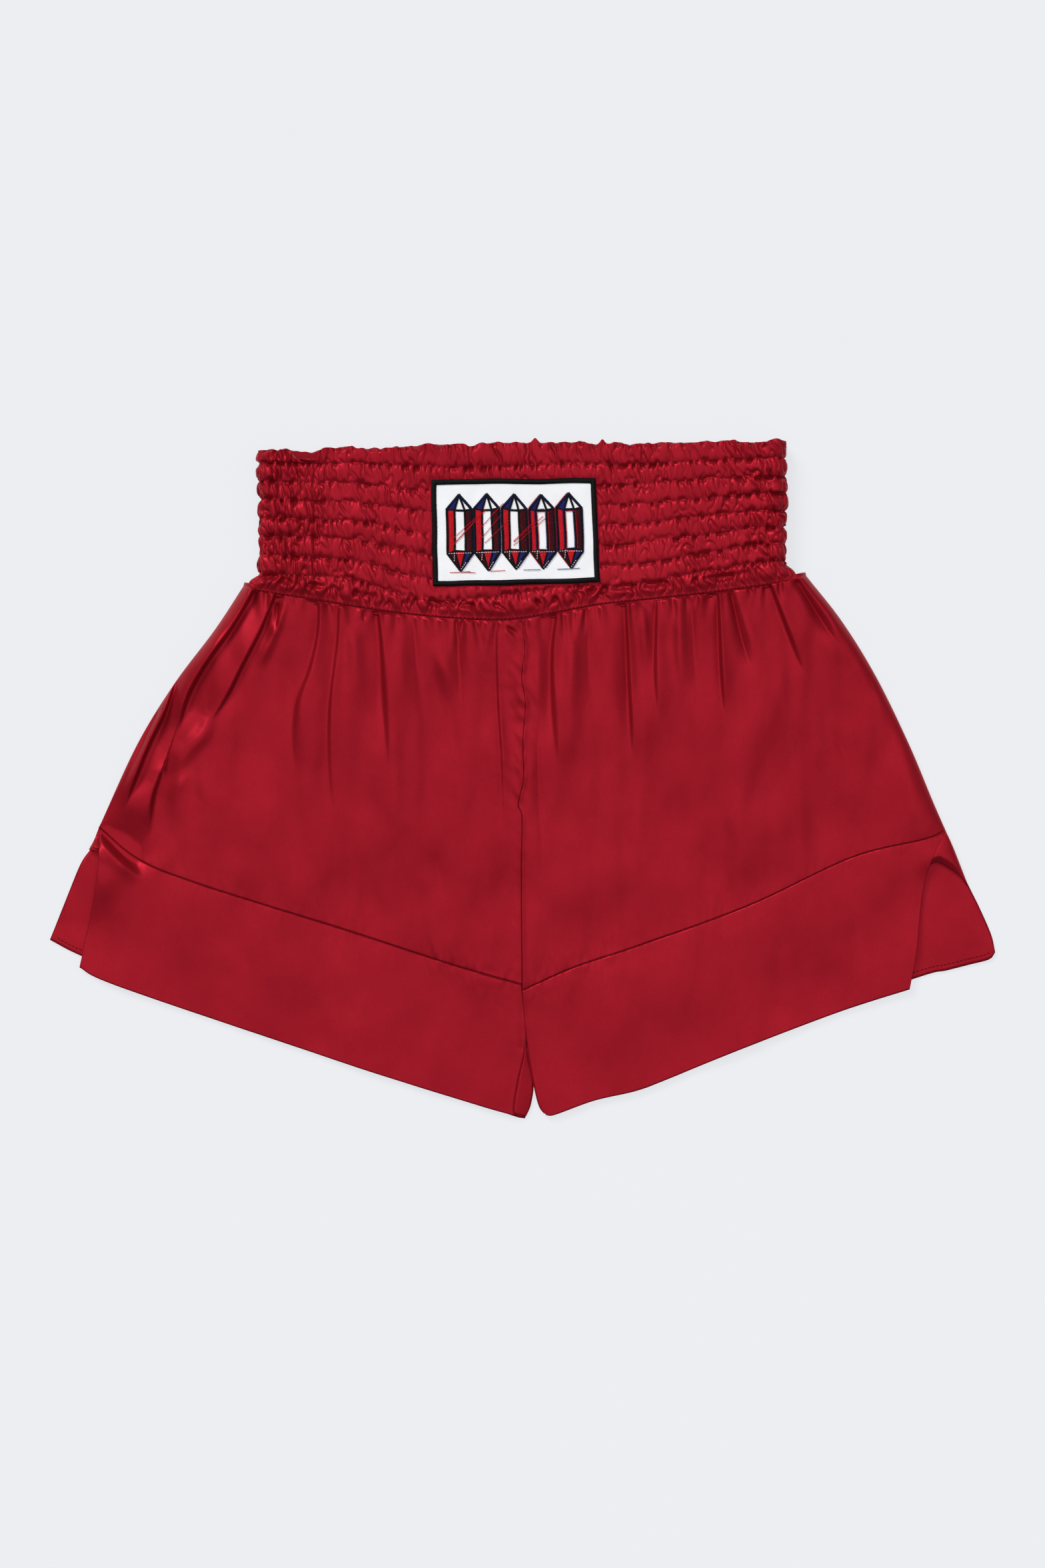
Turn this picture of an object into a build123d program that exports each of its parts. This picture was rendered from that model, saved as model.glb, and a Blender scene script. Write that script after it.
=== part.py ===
"""Satin boxing shorts, laid flat on their back with the front facing up.

Millimetres. +X is to the right of the front as it is looked at, +Y towards the waist, +Z up.
The origin is on the table, under the middle of the outline.
Each cloth piece is a plain plate: the front pieces lie on one level, the back pieces on another,
and the hollow that the wearer steps through is left open between them.
"""
from build123d import *
import os

os.makedirs("parts", exist_ok=True)

# ---------------------------------------------------------------- driving dimensions
length = 435.0  # top corner of the waistband to the hem tip at the inner leg
hem_spread = 607.2  # between the two back hem corners
waist_width = 340.0  # waistband laid flat
band_height = 113.7  # waistband, top edge to waist seam at the centre front
inseam_length = 51.3  # crotch to hem tip; the rest of the centre front is the rise

shell_thickness = 1.4  # gathered outer satin of the waistband
elastic_thickness = 1.2
lining_thickness = 1.4
cloth_thickness = 2.4  # a leg panel with the fullness of its folds
hollow_height = 8.0  # between the front and back walls of the waistband

elastic_count = 8
elastic_play = 0.4  # between an elastic and the stitched edge of its channel
channel_seam_width = 2.0  # stitched strip between two elastic channels

waist_seam_width = 6.0
side_seam_width = 5.0
seam_end_gap = 4.0  # a side seam strip stops this far from the waist seam and from the vent
centre_seam_width = 6.0
centre_seam_thickness = 1.2
centre_seam_gap = 1.5  # a centre seam strip stops this far below the waist seam
inseam_width = 5.0
inseam_outset = 1.0  # inner leg seam, in from the tips of the bands
inseam_foot_clearance = 8.0  # inner leg seam ends above the hem
centre_clearance = 0.3  # between the left and the right inner leg seam
topstitch_width = 2.0
topstitch_thickness = 0.5

badge_width = 107.0
badge_height = 67.0
badge_drop = 25.2  # waistband top to badge top
badge_offset = -5.3  # badge centre from the centre line
badge_ground_thickness = 1.2
badge_border_width = 3.0
badge_border_thickness = 2.2
thread_thickness = 0.6
gem_count = 5
gem_gap = 2.0
gem_margin = 7.0  # clear ground between the border and the gems
outline_width = 1.1
stitch_inset = 1.1  # badge fixing stitches, from the badge edge
stitch_width = 0.5
stitch_height = 0.3

# how each side lies: the left one (-1) and the right one (+1)
sides = {"left": -1, "right": 1}
top_corner_drop = {"left": 5.0, "right": 0.0}
waist_corner_drop = {"left": 91.9, "right": 85.5}
waist_corner_flare = 9.0  # how far the leg panel stands out past the waistband
waist_seam_sag = {"left": 5.0, "right": 3.0}
vent_inset = {"left": 31.6, "right": 32.0}  # top of the vent, in from the back hem corner
vent_level = {"left": 187.5, "right": 186.0}  # top of the vent above the hem tip
front_hip_bulge = {"left": 3.5, "right": 7.5}
back_hip_bulge = {"left": 10.0, "right": 8.5}
flap_top_inset = {"left": 0.6, "right": 11.6}  # where the front flap turns down, in from the vent
flap_top_drop = {"left": 17.0, "right": 21.8}  # and below it
flap_corner_inset = {"left": 19.2, "right": 55.1}  # front hem corner in from the back one
flap_corner_level = {"left": 97.8, "right": 83.7}
back_corner_level = {"left": 115.4, "right": 106.0}
hem_seam_sag = {"left": 6.0, "right": 2.0}
hem_sag = {"left": 3.0, "right": 1.0}
hem_seam_level = 85.5  # hem seam above the hem tip at the centre
back_hem_lift = 3.0  # the back hem lies a little inside the front one
front_tip = {"left": (-4.0, 0.0), "right": (15.0, 3.0)}  # inner leg corner: x, above the tip
back_tip = {"left": (2.0, 1.0), "right": (13.0, 6.0)}

# ---------------------------------------------------------------- derived levels
top = length / 2
tip = -length / 2
waist_centre = top - band_height
crotch = tip + inseam_length
band_wall = shell_thickness + elastic_thickness + lining_thickness
total_height = 2 * band_wall + hollow_height
front_floor = band_wall + hollow_height  # underside of the front leg panels
front_shell_floor = total_height - shell_thickness
lowest_waist_corner = top - min(waist_corner_drop.values())
channel_floor = lowest_waist_corner + waist_seam_width / 2  # lower end of the lowest channel
channel_pitch = (top - max(top_corner_drop.values()) - channel_floor) / elastic_count
elastic_width = channel_pitch - channel_seam_width - 2 * elastic_play
straight_half = (waist_width - total_height) / 2  # where the flat walls turn into the side folds
half_seam = waist_seam_width / 2


def waist_corner(side):
    """Where the side seam meets the waistband."""
    return (sides[side] * (waist_width / 2 + waist_corner_flare), top - waist_corner_drop[side])


def vent_top(side):
    return (sides[side] * (hem_spread / 2 - vent_inset[side]), tip + vent_level[side])


def flap_top(side):
    x, y = vent_top(side)
    return (x - sides[side] * flap_top_inset[side], y - flap_top_drop[side])


def front_hem_corner(side):
    return (sides[side] * (hem_spread / 2 - flap_corner_inset[side]), tip + flap_corner_level[side])


def back_hem_corner(side):
    return (sides[side] * hem_spread / 2, tip + back_corner_level[side])


def bowed(start, end, bow):
    """The middle of a line from start to end, moved to its left by bow."""
    line = Vector(*end) - Vector(*start)
    across = Vector(-line.Y, line.X).normalized()
    middle = (Vector(*start) + Vector(*end)) / 2 + across * bow
    return (middle.X, middle.Y)


def waist_line_points(side, shift):
    """Waist seam from the corner to the centre front, moved up by shift."""
    x, y = waist_corner(side)
    start = (x, y + shift)
    end = (0, waist_centre + shift)
    return start, bowed(start, end, sides[side] * waist_seam_sag[side]), end


def hem_seam_points(side, shift):
    """Seam between leg panel and hem band, from the vent to the centre, moved up by shift."""
    x, y = vent_top(side)
    start = (x, y + shift)
    end = (0, tip + hem_seam_level + shift)
    return start, bowed(start, end, sides[side] * hem_seam_sag[side]), end


def export(builder, name):
    builder.part.label = name
    export_step(builder.part, f"parts/{name}.step")


# ---------------------------------------------------------------- waistband
def band_outline(gap):
    """Face of the waistband down to the waist seam, ending gap above the seam line."""
    left, left_middle, centre = waist_line_points("left", gap)
    right, right_middle, _ = waist_line_points("right", gap)
    top_left = (left[0], top - top_corner_drop["left"])
    top_right = (right[0], top - top_corner_drop["right"])
    with BuildSketch() as face:
        with BuildLine():
            ThreePointArc(left, left_middle, centre)
            ThreePointArc(centre, right_middle, right)
            Polyline(right, top_right, top_left, left)
        make_face()
    return face.sketch


def draw_loop(outer_inset, thickness):
    """Flattened loop, outer_inset inside the outer face of the waistband, in the active sketch."""
    width = waist_width - 2 * outer_inset
    height = total_height - 2 * outer_inset
    SlotOverall(width, height)
    SlotOverall(width - 2 * thickness, height - 2 * thickness, mode=Mode.SUBTRACT)


def loop_plane(y):
    """Upright plane across the waistband, looking down the legs."""
    return Plane(origin=(0, y, total_height / 2), x_dir=(1, 0, 0), z_dir=(0, -1, 0))


band_face = band_outline(half_seam)

for name, floor in (("waistband_front_shell", front_shell_floor), ("waistband_back_shell", 0)):
    with BuildPart() as shell:
        with BuildSketch(Plane.XY.offset(floor)):
            add(band_face)
            Rectangle(2 * straight_half, 2 * length, mode=Mode.INTERSECT)
        extrude(amount=shell_thickness)
    export(shell, name)

for side, sign in sides.items():
    with BuildPart() as side_fold:
        with BuildSketch(loop_plane(top)):
            draw_loop(0, shell_thickness)
            Rectangle(2 * straight_half, 2 * total_height, mode=Mode.SUBTRACT)
        extrude(amount=length)
        with BuildSketch():
            add(band_face)
            with Locations((-sign * waist_width, 0)):
                Rectangle(2 * waist_width, 2 * length, mode=Mode.SUBTRACT)
        extrude(amount=total_height, mode=Mode.INTERSECT)
    export(side_fold, f"waistband_{side}_fold")

with BuildPart() as band_lining:
    with BuildSketch(loop_plane(top)):
        draw_loop(shell_thickness + elastic_thickness, lining_thickness)
    extrude(amount=length)
    with BuildSketch():
        add(band_face)
    extrude(amount=total_height, mode=Mode.INTERSECT)
export(band_lining, "waistband_lining")

for number in range(1, elastic_count + 1):
    channel_middle = channel_floor + (elastic_count - number + 0.5) * channel_pitch
    with BuildPart() as elastic:
        with BuildSketch(loop_plane(channel_middle + elastic_width / 2)):
            draw_loop(shell_thickness, elastic_thickness)
        extrude(amount=elastic_width)
    export(elastic, f"elastic_{number}")

# stitched strips between the channels, holding shell and lining together
for name, floor in (("front", total_height - band_wall + lining_thickness),
                    ("back", shell_thickness)):
    with BuildPart() as channel_seams:
        with BuildSketch(Plane.XY.offset(floor)):
            for number in range(1, elastic_count):
                with Locations((0, channel_floor + number * channel_pitch)):
                    Rectangle(2 * straight_half, channel_seam_width)
        extrude(amount=elastic_thickness)
    export(channel_seams, f"channel_seams_{name}")


# ---------------------------------------------------------------- waist seam
def waist_seam_face():
    """Strip along the whole waist seam, half_seam to each side of its line."""
    left, right = "left", "right"
    with BuildSketch() as face:
        with BuildLine():
            ThreePointArc(*waist_line_points(left, -half_seam))
            ThreePointArc(*waist_line_points(right, -half_seam))
            ThreePointArc(*waist_line_points(left, half_seam))
            ThreePointArc(*waist_line_points(right, half_seam))
            for side in (left, right):
                Line(waist_line_points(side, -half_seam)[0], waist_line_points(side, half_seam)[0])
        make_face()
    return face.sketch


for name, floor in (("front", front_floor), ("back", 0)):
    with BuildPart() as waist_seam:
        with BuildSketch(Plane.XY.offset(floor)):
            add(waist_seam_face())
        extrude(amount=band_wall)
    export(waist_seam, f"waist_seam_{name}")


# ---------------------------------------------------------------- leg panels
def hip_points(side, hip_bulge, inset, end_gap):
    """Hip edge from the waist corner to the vent, moved in by inset and end_gap shorter."""
    shift = -sides[side] * inset
    x, y = waist_corner(side)
    start = (x + shift, y - half_seam - end_gap)
    x, y = vent_top(side)
    end = (x + shift, y + end_gap)
    return start, bowed(start, end, sides[side] * hip_bulge), end


def panel_face(side, hip_bulge):
    """Leg panel from the waist seam to the hem seam, with its curved hip edge."""
    waist = waist_line_points(side, -half_seam)
    hem = hem_seam_points(side, 0)
    with BuildSketch() as face:
        with BuildLine():
            ThreePointArc(*waist)
            Line(waist[2], hem[2])
            ThreePointArc(*hem)
            ThreePointArc(*hip_points(side, hip_bulge, 0, 0))
        make_face()
    return face.sketch


levels = {"front": (front_floor, front_hip_bulge), "back": (0, back_hip_bulge)}
for layer, (floor, bulge) in levels.items():
    for side in sides:
        with BuildPart() as panel:
            with BuildSketch(Plane.XY.offset(floor)):
                add(panel_face(side, bulge[side]))
            extrude(amount=cloth_thickness)
        export(panel, f"{layer}_{side}_panel")


# ---------------------------------------------------------------- hem bands
def hem_band_face(side, outer_edge, outer_corner, inner_tip):
    """Band from the hem seam down to the hem, open at the side vent."""
    hem_seam = hem_seam_points(side, 0)
    hem_middle = bowed(outer_corner, inner_tip, sides[side] * hem_sag[side])
    with BuildSketch() as face:
        with BuildLine():
            ThreePointArc(*hem_seam)
            Polyline(hem_seam[2], (0, crotch), inner_tip)
            ThreePointArc(inner_tip, hem_middle, outer_corner)
            Polyline(outer_corner, *outer_edge, hem_seam[0])
        make_face()
    return face.sketch


for side in sides:
    tip_x, tip_lift = front_tip[side]
    with BuildPart() as front_band:
        with BuildSketch(Plane.XY.offset(front_floor)):
            add(hem_band_face(side, [flap_top(side)], front_hem_corner(side),
                              (tip_x, tip + tip_lift)))
        extrude(amount=cloth_thickness)
    export(front_band, f"front_{side}_hem_band")

    tip_x, tip_lift = back_tip[side]
    with BuildPart() as back_band:
        with BuildSketch():
            add(hem_band_face(side, [], back_hem_corner(side), (tip_x, tip + tip_lift)))
        extrude(amount=cloth_thickness)
    export(back_band, f"back_{side}_hem_band")

    lower = hem_seam_points(side, -topstitch_width / 2)
    upper = hem_seam_points(side, topstitch_width / 2)
    for layer, floor in (("front", front_floor + cloth_thickness), ("back", cloth_thickness)):
        with BuildPart() as topstitch:
            with BuildSketch(Plane.XY.offset(floor)):
                with BuildLine():
                    ThreePointArc(*lower)
                    Line(lower[2], upper[2])
                    ThreePointArc(*upper)
                    Line(upper[0], lower[0])
                make_face()
                Rectangle(centre_seam_width, 2 * length, mode=Mode.SUBTRACT)
            extrude(amount=topstitch_thickness)
        export(topstitch, f"{layer}_{side}_hem_topstitch")


# ---------------------------------------------------------------- seams of the legs
# side seams: between the front and back panels, along the hip edge from the waist to the vent
for side in sides:
    outer = hip_points(side, front_hip_bulge[side], 0, seam_end_gap)
    inner = hip_points(side, front_hip_bulge[side], side_seam_width, seam_end_gap)
    with BuildPart() as side_seam:
        with BuildSketch(Plane.XY.offset(cloth_thickness)):
            with BuildLine():
                ThreePointArc(*outer)
                Line(outer[2], inner[2])
                ThreePointArc(*inner)
                Line(inner[0], outer[0])
            make_face()
        extrude(amount=front_floor - cloth_thickness)
    export(side_seam, f"{side}_side_seam")

# centre seams: allowance strips on the inside of the front and of the back
seam_length = waist_centre - half_seam - centre_seam_gap - crotch
for layer, floor in (("front", front_floor - centre_seam_thickness), ("back", cloth_thickness)):
    with BuildPart() as centre_seam:
        with BuildSketch(Plane.XY.offset(floor)):
            with Locations((0, crotch + seam_length / 2)):
                Rectangle(centre_seam_width, seam_length)
        extrude(amount=centre_seam_thickness)
    export(centre_seam, f"centre_{layer}_seam")

# inseams: short upright strips that close the inner leg from the crotch to the hem
for side, sign in sides.items():
    tip_x = max(sign * front_tip[side][0], sign * back_tip[side][0]) * sign
    foot_y = tip + max(front_tip[side][1], back_tip[side][1]) + inseam_foot_clearance
    with BuildPart() as inseam:
        with BuildSketch(Plane.XY.offset(cloth_thickness)):
            with BuildLine():
                Polyline((sign * centre_clearance, crotch),
                         (tip_x + sign * inseam_outset, foot_y),
                         (tip_x + sign * (inseam_outset + inseam_width), foot_y),
                         (sign * (centre_clearance + inseam_width), crotch),
                         close=True)
            make_face()
        extrude(amount=front_floor - cloth_thickness)
    export(inseam, f"{side}_inseam")

# ---------------------------------------------------------------- badge
badge_middle = top - badge_drop - badge_height / 2
with BuildPart() as badge_ground:
    with BuildSketch(Plane.XY.offset(total_height)):
        with Locations((badge_offset, badge_middle)):
            Rectangle(badge_width - 2 * badge_border_width, badge_height - 2 * badge_border_width)
    extrude(amount=badge_ground_thickness)
export(badge_ground, "badge_ground")

with BuildPart() as badge_border:
    with BuildSketch(Plane.XY.offset(total_height)):
        with Locations((badge_offset, badge_middle)):
            RectangleRounded(badge_width, badge_height, badge_border_width / 2)
            Rectangle(badge_width - 2 * badge_border_width, badge_height - 2 * badge_border_width,
                      mode=Mode.SUBTRACT)
    extrude(amount=badge_border_thickness)
export(badge_border, "badge_border")

# embroidery: a row of faceted gems, drawn in four thread colours on the white ground
thread_plane = Plane.XY.offset(total_height + badge_ground_thickness)
field_width = badge_width - 2 * badge_border_width - 2 * gem_margin
gem_width = (field_width - (gem_count - 1) * gem_gap) / gem_count
gem_height = badge_height - 2 * badge_border_width - 2 * gem_margin
gem_centres = [(badge_offset + (index - (gem_count - 1) / 2) * (gem_width + gem_gap), badge_middle)
               for index in range(gem_count)]
facet_gap = 0.3  # between a thread fill and the black lines around it


def gem_point(across, up):
    """Point of a gem, given in halves of its width and height."""
    return across * gem_width / 2, up * gem_height / 2


crown, foot = gem_point(0, 1), gem_point(0, -1)
shoulder_left, shoulder_right = gem_point(-1, 0.62), gem_point(1, 0.62)
hip_left, hip_right = gem_point(-1, -0.55), gem_point(1, -0.55)
table_left, table_right = gem_point(-0.42, 0.58), gem_point(0.42, 0.58)
base_left, base_right = gem_point(-0.42, -0.5), gem_point(0.42, -0.5)
left_facet = (shoulder_left, hip_left, base_left, table_left)
right_facet = (shoulder_right, table_right, base_right, hip_right)
foot_facet = (base_left, foot, base_right)
left_foot_facet = (hip_left, foot, base_left)
right_foot_facet = (hip_right, base_right, foot)
left_crown_facet = (crown, shoulder_left, table_left)
open_facets = ((table_left, base_left, base_right, table_right), (crown, table_left, table_right),
               (crown, table_right, shoulder_right))
filled_facets = (left_facet, right_facet, foot_facet, left_foot_facet, right_foot_facet,
                 left_crown_facet)


def facet_face(points, inset):
    """Sketch of one facet, drawn in from its own edges."""
    with BuildSketch() as face:
        Polygon(*points, align=None)
        offset(amount=-inset, kind=Kind.INTERSECTION, mode=Mode.REPLACE)
    return face.sketch


with BuildPart() as outlines:
    with BuildSketch(thread_plane):
        with Locations(*gem_centres):
            Polygon(crown, shoulder_left, hip_left, foot, hip_right, shoulder_right, align=None)
            for facet_points in open_facets + filled_facets:
                add(facet_face(facet_points, outline_width / 2), mode=Mode.SUBTRACT)
    extrude(amount=thread_thickness)
export(outlines, "embroidery_black_outlines")


def fill_facets(facets, name):
    """The same thread fill in every gem, as a group of separate solids."""
    with BuildPart() as fill:
        with BuildSketch(thread_plane):
            with Locations(*gem_centres):
                for facet_points in facets:
                    add(facet_face(facet_points, outline_width / 2 + facet_gap))
        extrude(amount=thread_thickness)
    export(fill, name)


fill_facets((left_facet, foot_facet), "embroidery_red_facets")
fill_facets((right_facet, left_foot_facet), "embroidery_maroon_facets")
fill_facets((left_crown_facet, right_foot_facet), "embroidery_navy_facets")

# fixing stitches: a run of thread sewn down along the inner edge of the border
with BuildPart() as badge_stitches:
    with BuildSketch(Plane.XY.offset(total_height + badge_border_thickness)):
        with Locations((badge_offset, badge_middle)):
            inner_inset = 2 * (stitch_inset + stitch_width)
            Rectangle(badge_width - 2 * stitch_inset, badge_height - 2 * stitch_inset)
            Rectangle(badge_width - inner_inset, badge_height - inner_inset, mode=Mode.SUBTRACT)
    extrude(amount=stitch_height)
export(badge_stitches, "badge_fixing_stitches")
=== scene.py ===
"""Looks of the satin boxing shorts: gathered waistband, flared legs with hem bands, sewn badge.

The shorts lie on their back. Shapes are worked out in millimetres in the frame's own axes
(+X right, +Y to the waist, +Z up) and turned into metres when a mesh is made.
"""
import math

import bpy
import numpy as np
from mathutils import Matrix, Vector


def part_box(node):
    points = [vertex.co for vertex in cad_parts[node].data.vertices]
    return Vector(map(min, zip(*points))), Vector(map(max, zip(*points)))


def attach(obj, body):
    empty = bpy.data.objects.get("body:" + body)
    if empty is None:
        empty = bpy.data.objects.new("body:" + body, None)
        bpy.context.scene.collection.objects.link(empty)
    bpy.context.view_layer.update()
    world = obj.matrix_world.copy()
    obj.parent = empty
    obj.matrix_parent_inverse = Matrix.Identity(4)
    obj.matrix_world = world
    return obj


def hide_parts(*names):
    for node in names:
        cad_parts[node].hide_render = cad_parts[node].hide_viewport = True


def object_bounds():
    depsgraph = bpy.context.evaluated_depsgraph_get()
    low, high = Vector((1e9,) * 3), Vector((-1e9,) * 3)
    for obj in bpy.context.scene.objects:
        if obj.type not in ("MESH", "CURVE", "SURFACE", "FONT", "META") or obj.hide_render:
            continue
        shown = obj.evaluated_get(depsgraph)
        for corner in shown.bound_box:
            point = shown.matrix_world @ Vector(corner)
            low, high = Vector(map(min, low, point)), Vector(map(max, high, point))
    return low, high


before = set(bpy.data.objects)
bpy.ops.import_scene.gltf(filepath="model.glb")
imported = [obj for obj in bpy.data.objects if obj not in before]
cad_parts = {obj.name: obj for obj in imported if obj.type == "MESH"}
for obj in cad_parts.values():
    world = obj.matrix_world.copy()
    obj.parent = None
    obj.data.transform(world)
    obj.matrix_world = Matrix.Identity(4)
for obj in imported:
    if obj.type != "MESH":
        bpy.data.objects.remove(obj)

cad_lo, cad_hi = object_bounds()
MM = 0.001
BODY = "root"

# ------------------------------------------------------------------ sizes taken from the frame
def box_mm(node):
    """Lowest and highest corner of a CAD node in millimetres."""
    lo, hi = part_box(node)
    return np.array(lo) / MM, np.array(hi) / MM


HALF_LENGTH = (cad_hi.y - cad_lo.y) / MM / 2      # to the waistband's top edge and to the hem tip
fold_lo, _ = box_mm("waistband_left_fold")
badge_lo, badge_hi = box_mm("badge_border")
HALF_WAIST = -fold_lo[0]                          # waistband laid flat, half its width
BADGE_SIZE = badge_hi - badge_lo
BADGE_CENTRE = (badge_hi + badge_lo) / 2
TOP = HALF_LENGTH

# ------------------------------------------------------------------ small mathematics
def lattice_noise(x, y, seed):
    """Smooth noise between about -1 and 1, with cells one unit wide."""
    rng = np.random.default_rng(seed)
    order = rng.permutation(256)
    turn = rng.uniform(0, 2 * np.pi, 256)
    x, y = np.broadcast_arrays(np.asarray(x, float), np.asarray(y, float))
    xi, yi = np.floor(x).astype(int), np.floor(y).astype(int)
    xf, yf = x - xi, y - yi

    def corner(dx, dy):
        a = turn[order[(xi + dx + order[(yi + dy) & 255]) & 255]]
        return np.cos(a) * (xf - dx) + np.sin(a) * (yf - dy)

    u = xf * xf * xf * (xf * (xf * 6 - 15) + 10)
    v = yf * yf * yf * (yf * (yf * 6 - 15) + 10)
    low = corner(0, 0) * (1 - u) + corner(1, 0) * u
    high = corner(0, 1) * (1 - u) + corner(1, 1) * u
    return 1.5 * (low * (1 - v) + high * v)


def smooth(edge0, edge1, value):
    """Smooth step from 0 at edge0 to 1 at edge1."""
    t = np.clip((value - edge0) / (edge1 - edge0), 0, 1)
    return t * t * (3 - 2 * t)


def mix(a, b, share):
    """Value at a share of the way from a to b."""
    return a + (b - a) * share


def curve_through(points, share):
    """Points on a smooth curve through the given ones, at shares 0 to 1 of its length."""
    p = np.array(points, float)
    ends = np.vstack([2 * p[0] - p[1], p, 2 * p[-1] - p[-2]])
    fine = []
    for i in range(len(p) - 1):
        t = np.linspace(0, 1, 24, endpoint=False)[:, None]
        a, b, c, d = ends[i:i + 4]
        fine.append(0.5 * (2 * b + (c - a) * t + (2 * a - 5 * b + 4 * c - d) * t * t
                           + (3 * b - 3 * c + d - a) * t ** 3))
    fine = np.vstack(fine + [p[-1:]])
    run = np.concatenate([[0], np.cumsum(np.linalg.norm(np.diff(fine, axis=0), axis=1))])
    at = np.asarray(share) * run[-1]
    return np.stack([np.interp(at, run, fine[:, k]) for k in range(fine.shape[1])], axis=-1)


def patch(top, bottom, inner, outer, u, v):
    """Plan of a cloth patch between four edges; u runs from inner to outer, v from top down."""
    t, b = curve_through(top, u), curve_through(bottom, u)
    i, o = curve_through(inner, v), curve_through(outer, v)
    t00, t10, b01, b11 = (np.array(q, float) for q in (top[0], top[-1], bottom[0], bottom[-1]))
    u, v = u[..., None], v[..., None]
    return ((1 - v) * t + v * b + (1 - u) * i + u * o
            - (1 - u) * (1 - v) * t00 - u * (1 - v) * t10 - (1 - u) * v * b01 - u * v * b11)


def stroke(x, y, points):
    """Signed distance to a smooth line through points (left of it is positive) and the share run."""
    line = curve_through(points, np.linspace(0, 1, 4 * len(points)))
    best = np.full(x.shape, 1e9)
    side = np.zeros(x.shape)
    share = np.zeros(x.shape)
    steps = np.linalg.norm(np.diff(line, axis=0), axis=1)
    run = np.concatenate([[0], np.cumsum(steps)])
    for k, (a, b) in enumerate(zip(line[:-1], line[1:])):
        d = b - a
        t = np.clip(((x - a[0]) * d[0] + (y - a[1]) * d[1]) / (steps[k] ** 2), 0, 1)
        px, py = x - a[0] - t * d[0], y - a[1] - t * d[1]
        dist = np.hypot(px, py)
        near = dist < best
        best = np.where(near, dist, best)
        side = np.where(near, np.sign(d[0] * py - d[1] * px), side)
        share = np.where(near, (run[k] + t * steps[k]) / run[-1], share)
    return side * best, share


# ------------------------------------------------------------------ making meshes
MADE = {}  # the pieces by their plain names


def cloth_object(name, points, closed=False):
    """Mesh object from a grid of points in millimetres, indexed [row, column]."""
    rows, columns = points.shape[:2]
    index = np.arange(rows * columns).reshape(rows, columns)
    if closed:
        index = np.hstack([index, index[:, :1]])
    quads = np.stack([index[:-1, :-1], index[1:, :-1], index[1:, 1:], index[:-1, 1:]], axis=-1)
    quads = quads.reshape(-1, 4)
    mesh = bpy.data.meshes.new(name)
    mesh.from_pydata((points.reshape(-1, 3) * MM).tolist(), [], quads.tolist())
    mesh.polygons.foreach_set("use_smooth", np.ones(len(mesh.polygons), bool))
    mesh.update()
    piece = bpy.data.objects.new(name + "_cloth", mesh)
    bpy.context.collection.objects.link(piece)
    MADE[name] = piece
    return piece


def thicken(piece, thickness, rim_only=False):
    """Gives a single layer of cloth its thickness, in millimetres."""
    modifier = piece.modifiers.new("thickness", "SOLIDIFY")
    modifier.thickness = thickness * MM
    modifier.offset = -1.0
    modifier.use_rim = True
    modifier.use_rim_only = rim_only


def settle(piece, nodes=()):
    """Puts a piece on its body and the CAD nodes it stands for."""
    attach(piece, BODY)
    if nodes:
        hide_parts(*nodes)
    return piece


def finish_piece(piece, material, nodes=()):
    """Gives a piece of cloth its material and settles it."""
    piece.data.materials.append(material)
    return settle(piece, nodes)


# ------------------------------------------------------------------ shader groups
def new_group(name, inputs, outputs):
    """Empty shader group; inputs are (name, kind, default), outputs (name, kind)."""
    group = bpy.data.node_groups.new(name, "ShaderNodeTree")
    for label, kind, default in inputs:
        socket = group.interface.new_socket(label, in_out="INPUT", socket_type=kind)
        if default is not None:
            socket.default_value = default
    for label, kind in outputs:
        group.interface.new_socket(label, in_out="OUTPUT", socket_type=kind)
    return group, group.nodes.new("NodeGroupInput"), group.nodes.new("NodeGroupOutput")


def math_node(tree, operation, a, b=None):
    """Math node; a and b are sockets or plain numbers."""
    node = tree.nodes.new("ShaderNodeMath")
    node.operation = operation
    for socket, value in zip(node.inputs, (a, b)):
        if isinstance(value, bpy.types.NodeSocket):
            tree.links.new(value, socket)
        elif value is not None:
            socket.default_value = value
    return node.outputs[0]


def scaled_vector(tree, vector, factors):
    """Vector with each axis multiplied by a socket or a number."""
    split = tree.nodes.new("ShaderNodeSeparateXYZ")
    tree.links.new(vector, split.inputs[0])
    join = tree.nodes.new("ShaderNodeCombineXYZ")
    for axis, factor in enumerate(factors):
        tree.links.new(math_node(tree, "MULTIPLY", split.outputs[axis], factor), join.inputs[axis])
    return join.outputs[0]


def noise_factor(tree, vector, scale, detail, roughness=0.5):
    """Noise from 0 to 1; scale is a socket or a number."""
    node = tree.nodes.new("ShaderNodeTexNoise")
    tree.links.new(vector, node.inputs["Vector"])
    if isinstance(scale, bpy.types.NodeSocket):
        tree.links.new(scale, node.inputs["Scale"])
    else:
        node.inputs["Scale"].default_value = scale
    node.inputs["Detail"].default_value = detail
    node.inputs["Roughness"].default_value = roughness
    return node.outputs["Fac"]


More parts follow.
